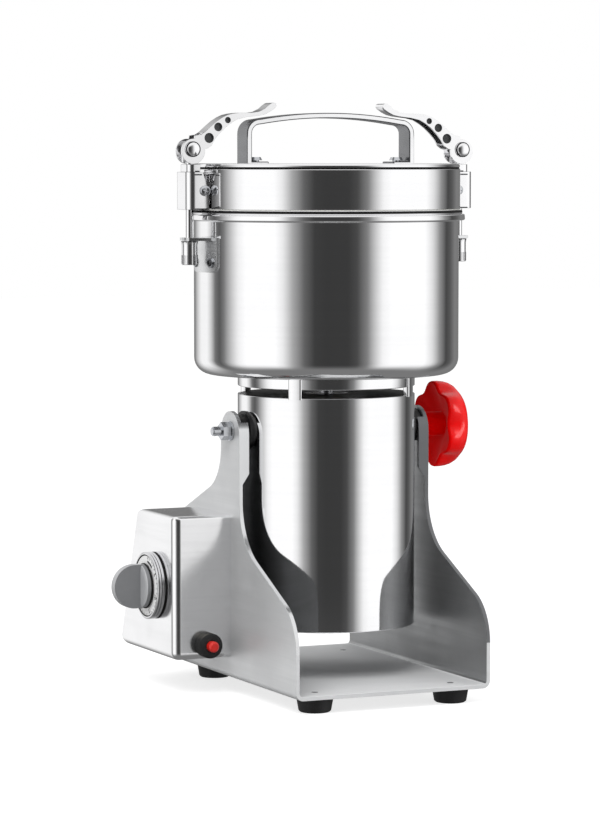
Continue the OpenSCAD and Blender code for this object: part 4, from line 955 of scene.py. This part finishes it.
def make_dial():
    """A foot ring painted black as shadow, a turned steel ring with grooves painted black as shade, and a
    white face with a painted shadow line round its edge.
    """
    bm = turned(softened([
        (DIAL_BORE, 0.0), (DIAL_R, 0.0), (DIAL_R, DIAL_FOOT, 0.2), (DIAL_BORE, DIAL_FOOT),
    ], steps=3), 128, dial_lay)
    # The foot ring is painted black as shadow where the dial meets the box
    finish_piece("timer_dial_foot", bm, "base", "shadow_black", edge=40)
    bm = turned(softened([
        (DIAL_PLATE_R, DIAL_FOOT), (DIAL_R - 0.3, DIAL_FOOT), (DIAL_R, 1.2, 0.2), (DIAL_R, 2.5, 0.15),
        (DIAL_R - 0.5, 2.7, 0.1), (DIAL_R - 0.5, 3.0, 0.1), (DIAL_R, 3.2, 0.15), (DIAL_R, 4.3, 0.15),
        (DIAL_R - 0.5, 4.5, 0.1), (DIAL_R - 0.5, 4.8, 0.1), (DIAL_R, 5.0, 0.15), (DIAL_R - 0.1, 5.6, 0.25),
        (DIAL_R - 0.7, 6.0, 0.25), (20.0, 6.0, 0.15), (DIAL_PLATE_R, 5.4, 0.1),
    ], steps=3), 160, dial_lay)
    ring = finish_piece("timer_dial_ring", bm, "base", "dial_ring", edge=35)
    # Painted shade in the ring's grooves and at its inner lip
    second_finish(ring, "shadow_black", in_painted_groove_shade)
    bm = turned(softened([
        (DIAL_BORE, DIAL_FOOT), (DIAL_PLATE_R, DIAL_FOOT), (DIAL_PLATE_R, DIAL_FACE),
        (DIAL_PLATE_R - 0.5, DIAL_FACE + 0.05, 0.1), (DIAL_BORE, DIAL_FACE),
    ], steps=3), 128, dial_lay)
    plate = finish_piece("timer_dial_plate", bm, "base", "dial", ("timer_dial",), edge=40)
    # Painted shadow: a black line round the face's edge
    second_finish(plate, "shadow_black", lambda normal, middle: from_dial(middle)[0] > 19.25)


# Each ring of ticks: what one is called, its length and width, how many there are and their radius
TICKS = (("tick", 1.3, 0.5, 31, 18.4), ("long tick", 1.7, 0.9, 7, 18.2))


def make_dial_print():
    """Ticks, a short arc before the first number, and six numbers."""
    for name, length, width, count, radius in TICKS:
        block = small_block(name, length, width, PRINT_T)
        ring_of("dial_" + name.replace(" ", "_") + "s", block, "base", "print", dial_lay, count, radius,
                FIRST_MARK, MARK_SWEEP / (count - 1), DIAL_FACE)
    arc = arc_points((0, 0), 16.6, 98, 128, 16) + arc_points((0, 0), 15.2, 98, 128, 16)[::-1]
    bm = slab(arc, DIAL_FACE, DIAL_FACE + PRINT_T, dial_lay)
    finish_piece("dial_arc", bm, "base", "print", edge=30)
    bm = bmesh.new()
    for k in range(1, 7):
        angle = math.radians(FIRST_MARK + k * MARK_SWEEP / 6)
        outwards = Vector((math.cos(angle), math.sin(angle)))
        along = Vector((-math.sin(angle), math.cos(angle)))
        line = bpy.data.curves.new("number", "FONT")
        line.body = str(5 * k)
        line.size = 3.7
        line.offset = 0.06
        line.align_x, line.align_y = "CENTER", "CENTER"
        line.extrude = PRINT_T / 2
        holder = new_object("number", line)
        graph = bpy.context.evaluated_depsgraph_get()
        made = bpy.data.meshes.new_from_object(holder.evaluated_get(graph))
        for dot in made.vertices:
            spot = outwards * (16.3 + dot.co.y) + along * dot.co.x
            dot.co = dial_lay(spot.x, spot.y, DIAL_FACE + PRINT_T / 2 + dot.co.z)
        bm.from_mesh(made)
        bpy.data.objects.remove(holder)
    finish_piece("dial_numbers", bm, "base", "print", edge=30)


KNOB_R, KNOB_FOOT, KNOB_DISC_T, FIN_HALF, FIN_SUNK = 14.0, 6.3, 4.0, 3.0, 0.6


def make_timer_knob():
    """A thin round disc with a D-shaped fin to turn it by."""
    disc = KNOB_FOOT + KNOB_DISC_T
    bm = turned(softened([
        (3.2, KNOB_FOOT), (KNOB_R + 0.5, KNOB_FOOT, 0.2), (KNOB_R + 0.5, KNOB_FOOT + 0.8, 0.3),
        (KNOB_R, KNOB_FOOT + 1.2, 0.3), (KNOB_R, disc - 0.2, 1.1), (KNOB_R - 3.0, disc + 0.3, 1.0),
        (0.0, disc + 0.3),
    ], steps=5), 128, dial_lay, closed=False)
    piece = finish_piece("timer_knob_disc", bm, "timer", "knob_grey", ("timer_knob",), edge=40)
    foot_x = place(box_out - KNOB_FOOT - 1.3, 0, 0).x
    # Painted shade: the disc's sides darker, and its foot black as shadow
    second_finish(piece, "knob_painted_shade", lambda normal, middle: abs(normal.x) < 0.5)
    second_finish(piece, "shadow_black", lambda normal, middle: middle.x > foot_x)
    root, tip = disc - FIN_SUNK, box_out - span("timer_knob", 0)[0]
    rim = [(root, -KNOB_R)] + arc_points((tip - KNOB_R, 0.0), KNOB_R, -90, 90, 48) + [(root, KNOB_R)]
    bm = slab(rim, -FIN_HALF, FIN_HALF, lambda u, v, w: place(box_out - u, DIAL_Y + w, DIAL_Z + v))
    piece = finish_piece("timer_knob_fin", bm, "timer", "knob_grey", edge=40)
    # Painted shade: the fin's flat sides darker than its rounded rim
    second_finish(piece, "knob_painted_shade", lambda normal, middle: abs(normal.y) > 0.7)
    round_edges(piece, 1.2, 4, 40)


make_box()
make_dial()
make_dial_print()
make_timer_knob()
copied("breaker_rubber_boot", "breaker_boot", "rubber", 0.4)
copied("reset_push_button", "reset_button", "button_red", 0.4)

# The sheet's plate, its walls' inner faces and its edges take copies of the steel with painted light and
# shade: the plate painted lighter, the inner walls and the plate's cut edges painted darker, the left
# upright's edges a painted highlight and the right one's painted shade
base_sheet = copied("bent_base_frame", "base_frame", "satin_steel", 0.5, segments=3)
sheet_low = span("base_frame", 2)[0] * MM
plate_high, edge_high, edge_x = sheet_low + 6 * MM, sheet_low + 4 * MM, 30 * MM
for finish, chosen in (
    ("plate_painted_light", lambda normal, middle: normal.z > 0.7 and middle.z < plate_high),
    ("inner_wall_painted_shade", lambda normal, middle: normal.x < -0.6 and middle.x > AXIS_X),
    ("deep_painted_shade", lambda normal, middle: normal.x > 0.6 and middle.x < AXIS_X),
    ("cut_edge_painted_shade", lambda normal, middle: abs(normal.y) > 0.9 and middle.z < edge_high),
    ("left_edge_painted_highlight", lambda normal, middle: (
        abs(normal.x) < 0.2 and AXIS_X - middle.x > edge_x and middle.z > plate_high)),
    ("right_edge_painted_shade", lambda normal, middle: (
        abs(normal.x) < 0.2 and middle.x - AXIS_X > edge_x and middle.z > plate_high)),
):
    second_finish(base_sheet, finish, chosen)


# The lock knob
LOBES, FIRST_LOBE, LOCK_DEPTH, HUB_R, VALLEY_POWER = 6, 87.0, 16.0, 8.0, 1.35
# Rings from the hollow back to the front: a share of the radius, a place along X and how deep the
# valleys between the lobes are
LOCK_RINGS = [
    (0.30, 6.5, 0.0), (0.42, 5.4, 0.02), (0.62, 3.2, 0.06), (0.8, 1.4, 0.1), (0.92, 0.35, 0.145),
    (0.955, 0.0, 0.16), (0.985, 0.3, 0.165), (1.0, 1.4, 0.165), (1.0, 4.5, 0.15), (0.985, 8.0, 0.115),
    (0.955, 11.0, 0.075), (0.905, 13.4, 0.04), (0.83, 15.0, 0.015), (0.72, 15.7, 0.0), (0.5, 15.95, 0.0),
    (0.25, LOCK_DEPTH, 0.0), (0.0, LOCK_DEPTH, 0.0),
]


def make_lock_knob():
    """A moulded knob with six soft lobes, hollow behind, its front rim nearly round."""
    low, high = span("lock_knob", 0)
    bottom, top = span("lock_knob", 2)
    pivot, tip, back = (bottom + top) / 2, (top - bottom) / 2, high - LOCK_DEPTH
    hub = [(0.0, low), (HUB_R - 1.0, low), (HUB_R - 0.1, low), (HUB_R, low + 0.8), (HUB_R, back + 6.5)]
    rings = [(radius, x, 0.0) for radius, x in hub]
    rings += [(tip * share, back + x, depth) for share, x, depth in LOCK_RINGS]
    angles = [2 * math.pi * k / 240 for k in range(240)]
    waves = [((1 - math.cos(LOBES * (a - math.radians(FIRST_LOBE)))) / 2) ** VALLEY_POWER for a in angles]
    bm = bmesh.new()
    loops = []
    for radius, x, depth in rings:
        around = [(radius * (1 - depth * wave), a) for a, wave in zip(angles, waves)]
        loops.append([
            bm.verts.new(place(x, r * math.cos(a), pivot + r * math.sin(a)))
            for r, a in (around if radius else around[:1])
        ])
    skin(bm, loops, closed=False)
    knob = finish_piece("star_lock_knob", bm, "lock", "lock_red", ("lock_knob",), edge=50)
    hub_z, hub_reach = pivot * MM, (HUB_R + 1.0) * MM
    # Painted shade: the back and the hub take a darker, duller copy of the red
    second_finish(knob, "lock_back_painted_shade", lambda normal, middle: normal.x < -0.2 or (
        math.hypot(middle.y, middle.z - hub_z) < hub_reach and normal.x < 0.5))
    knob.visible_glossy = False
    lit = bpy.data.collections.new("lit by the strip")
    lit.objects.link(knob)
    knob_strip.light_linking.receiver_collection = lit


make_lock_knob()
copied("rubber_foot_set", "rubber_feet", "rubber", 0.5)


# The latches
# Painted shade lines are thin strips painted dark as the shade along the strap and saddle: the rise above
# the foot of the strap or saddle, and how far each starts from its inner edge
SHADE_LINE_H, SHADE_LINE_PROUD, SHADE_LINE_SUNK, SHADE_LINE_OFF_CORNER = 0.85, 0.15, 0.2, 4.4
PAINTED_SHADE_LINES = (("strap", ((0.0, 0.6), (21.5, 4.8))), ("saddle", ((0.0, 0.6),)))
LEVER_REACH, LEVER_RISE = 57.6, 29.5
# Each hole in a lever: its place as shares of the lever's reach and rise, and the radius of its disc of
# painted shade
LEVER_HOLES = ((0.195, 0.24, 3.5), (0.303, 0.475, 3.05), (0.418, 0.622, 2.25))
DOME_R, DOME_RISE = 4.25, 1.3
DOME_ARC = [math.radians(angle) for angle in range(10, 90, 10)]
DOME = (
    [(0.0, -0.9), (4.9, -0.9), (4.9, -0.55), (4.55, -0.45), (4.3, -0.55), (DOME_R, -0.2)]
    + [(DOME_R * math.cos(a), DOME_RISE * math.sin(a) - 0.2) for a in DOME_ARC] + [(0.0, DOME_RISE - 0.2)]
)


def make_painted_shade_lines(side):
    for part, painted_shade_lines in PAINTED_SHADE_LINES:
        reaches, depths, heights = (span(side + "_" + part, axis) for axis in (0, 1, 2))
        bm = bmesh.new()
        for rise, inset in painted_shade_lines:
            low, high = (inset, -SHADE_LINE_OFF_CORNER) if side == "right" else (SHADE_LINE_OFF_CORNER, -inset)
            outline = rectangle(reaches[0] + low, reaches[1] + high, 0.0, SHADE_LINE_H)
            slab(outline, -SHADE_LINE_PROUD, SHADE_LINE_SUNK,
                 lambda u, v, w: place(u, depths[0] + w, heights[0] + rise + v), bm)
        finish_piece(side + "_" + part + "_seam", bm, side + "_clamp", "rim_painted_shade", edge=40)


def make_pin_domes(side, pin_x, pin_z):
    """A domed cap on each end of the lever's pin, in a ring painted black as shadow."""
    axis_x, axis_z = place(pin_x, 0, 0).x, pin_z * MM
    for end, y, way in zip(("front", "back"), span(side + "_lever_pin", 1), (-1, 1)):
        bm = turned(DOME, 64, lambda u, v, w: place(pin_x + u, y + way * w, pin_z + v), closed=False)
        piece = finish_piece(side + "_pin_dome_" + end, bm, side + "_draw_rod", "latch_steel", edge=35)
        second_finish(piece, "shadow_black", lambda normal, middle: (
            math.hypot(middle.x - axis_x, middle.z - axis_z) > DOME_R * MM))


def make_lever_hole_shade(side, pin_x, pin_z):
    """Discs of painted shade a little inside the holes in the lever's two walls, so the holes look dark."""
    tip_way = 1 if side == "left" else -1
    bm = bmesh.new()
    for share_x, share_z, radius in LEVER_HOLES:
        spot = (pin_x + tip_way * share_x * LEVER_REACH, pin_z + share_z * LEVER_RISE)
        for y in (-3.9, 3.65):
            slab(circle(spot, radius, 32), y, y + 0.25, across_y, bm)
    body = frame["nodes"][side + "_lever"]["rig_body"]
    finish_piece(side + "_lever_backing", bm, body, "deep_painted_shade", edge=30)


for side in ("left", "right"):
    # Painted shade: the rounded edges of straps, saddles, nuts and levers are painted dark as outlines, and
    # so are the strap's top and bottom faces
    strap = copied(side + "_swing_strap", side + "_strap", "latch_steel", 0.7, "rim_painted_shade")
    second_finish(strap, "rim_painted_shade", lambda normal, middle: abs(normal.z) > 0.7)
    copied(side + "_rod_saddle", side + "_saddle", "latch_steel", 0.8, "rim_painted_shade")
    make_painted_shade_lines(side)
    copied(side + "_draw_bar", side + "_rod", "latch_steel", 0.2)
    nut = copied(side + "_flared_nut", side + "_rod_nut", "latch_steel", 0.3, "rim_painted_shade")
    # Painted shade: a dark line round the top of the nut's flange
    flange = (span(side + "_rod_nut", 2)[1] - 1.0) * MM
    second_finish(nut, "rim_painted_shade", lambda normal, middle: middle.z > flange)
    copied(side + "_cam_pin", side + "_lever_pin", "latch_steel", 0.3)
    pin = [middle_of(side + "_lever_pin", axis) for axis in (0, 2)]
    make_pin_domes(side, *pin)
    copied(side + "_latch_lever", side + "_lever", "latch_steel", 0.6, "rim_painted_shade")
    make_lever_hole_shade(side, *pin)
# The catches' rounded edges are painted dark as outlines
copied("rod_catches", "bowl_catches", "catch_steel", 0.3, "rim_painted_shade")

# Screws, rivets and knurls
screw_item, rivet_item = cross_head(), hollow_rivet()
for side in ("left", "right"):
    swing_x, swing_z = (middle_of(side + "_swing_screw", axis) for axis in (0, 2))
    front, back = span(side + "_swing_screw", 1)
    fixings(side + "_swing_screw_heads", screw_item, side + "_clamp", "zinc_screw", [
        ((swing_x, front + 0.9, swing_z), (0, -1, 0)), ((swing_x, back - 0.9, swing_z), (0, 1, 0)),
    ], 3.3, 3)
    nut_x, nut_low = middle_of(side + "_rod_nut", 0), span(side + "_rod_nut", 2)[0]
    ring_of(side + "_nut_knurl", small_block("ridge", 0.5, 0.42, 5.5), side + "_draw_rod", "latch_steel",
            lambda u, v, w: place(nut_x + u, v, w), 30, 5.0, 0, 12, nut_low + 0.6)
RIVET_R, RIVET_Z = 87.4, 276.3
marks = []
for sign in (-1, 1):
    for turn in (-8, 8):
        x, y = sign * math.cos(math.radians(turn)), math.sin(math.radians(turn))
        marks.append(((RIVET_R * x, RIVET_R * y, RIVET_Z), (x, y, 0)))
# The rivet heads are painted dark as the shade in their holes
fixings("catch_rivet_heads", rivet_item, "mill", "rim_painted_shade", marks, 2.2, 5)
for item in items:
    bpy.data.objects.remove(item)

# Finishes of the solids that stay
slot_of_node = {entry["node"]: entry["material_slot"] for entry in frame["record"]["subparts"]}
OWN_FINISH = {
    "lower_blade": "blade_steel", "upper_blade": "blade_steel", "motor_top_plate": "moulded_black",
    "trunnion_bosses": "moulded_black",
}
for name, node in frame["nodes"].items():
    chosen = OWN_FINISH.get(name, slot_of_node.get(name, "zinc_screw"))
    for i in range(len(node.data.materials)):
        node.data.materials[i] = FINISH.get(chosen, FINISH["zinc_screw"])
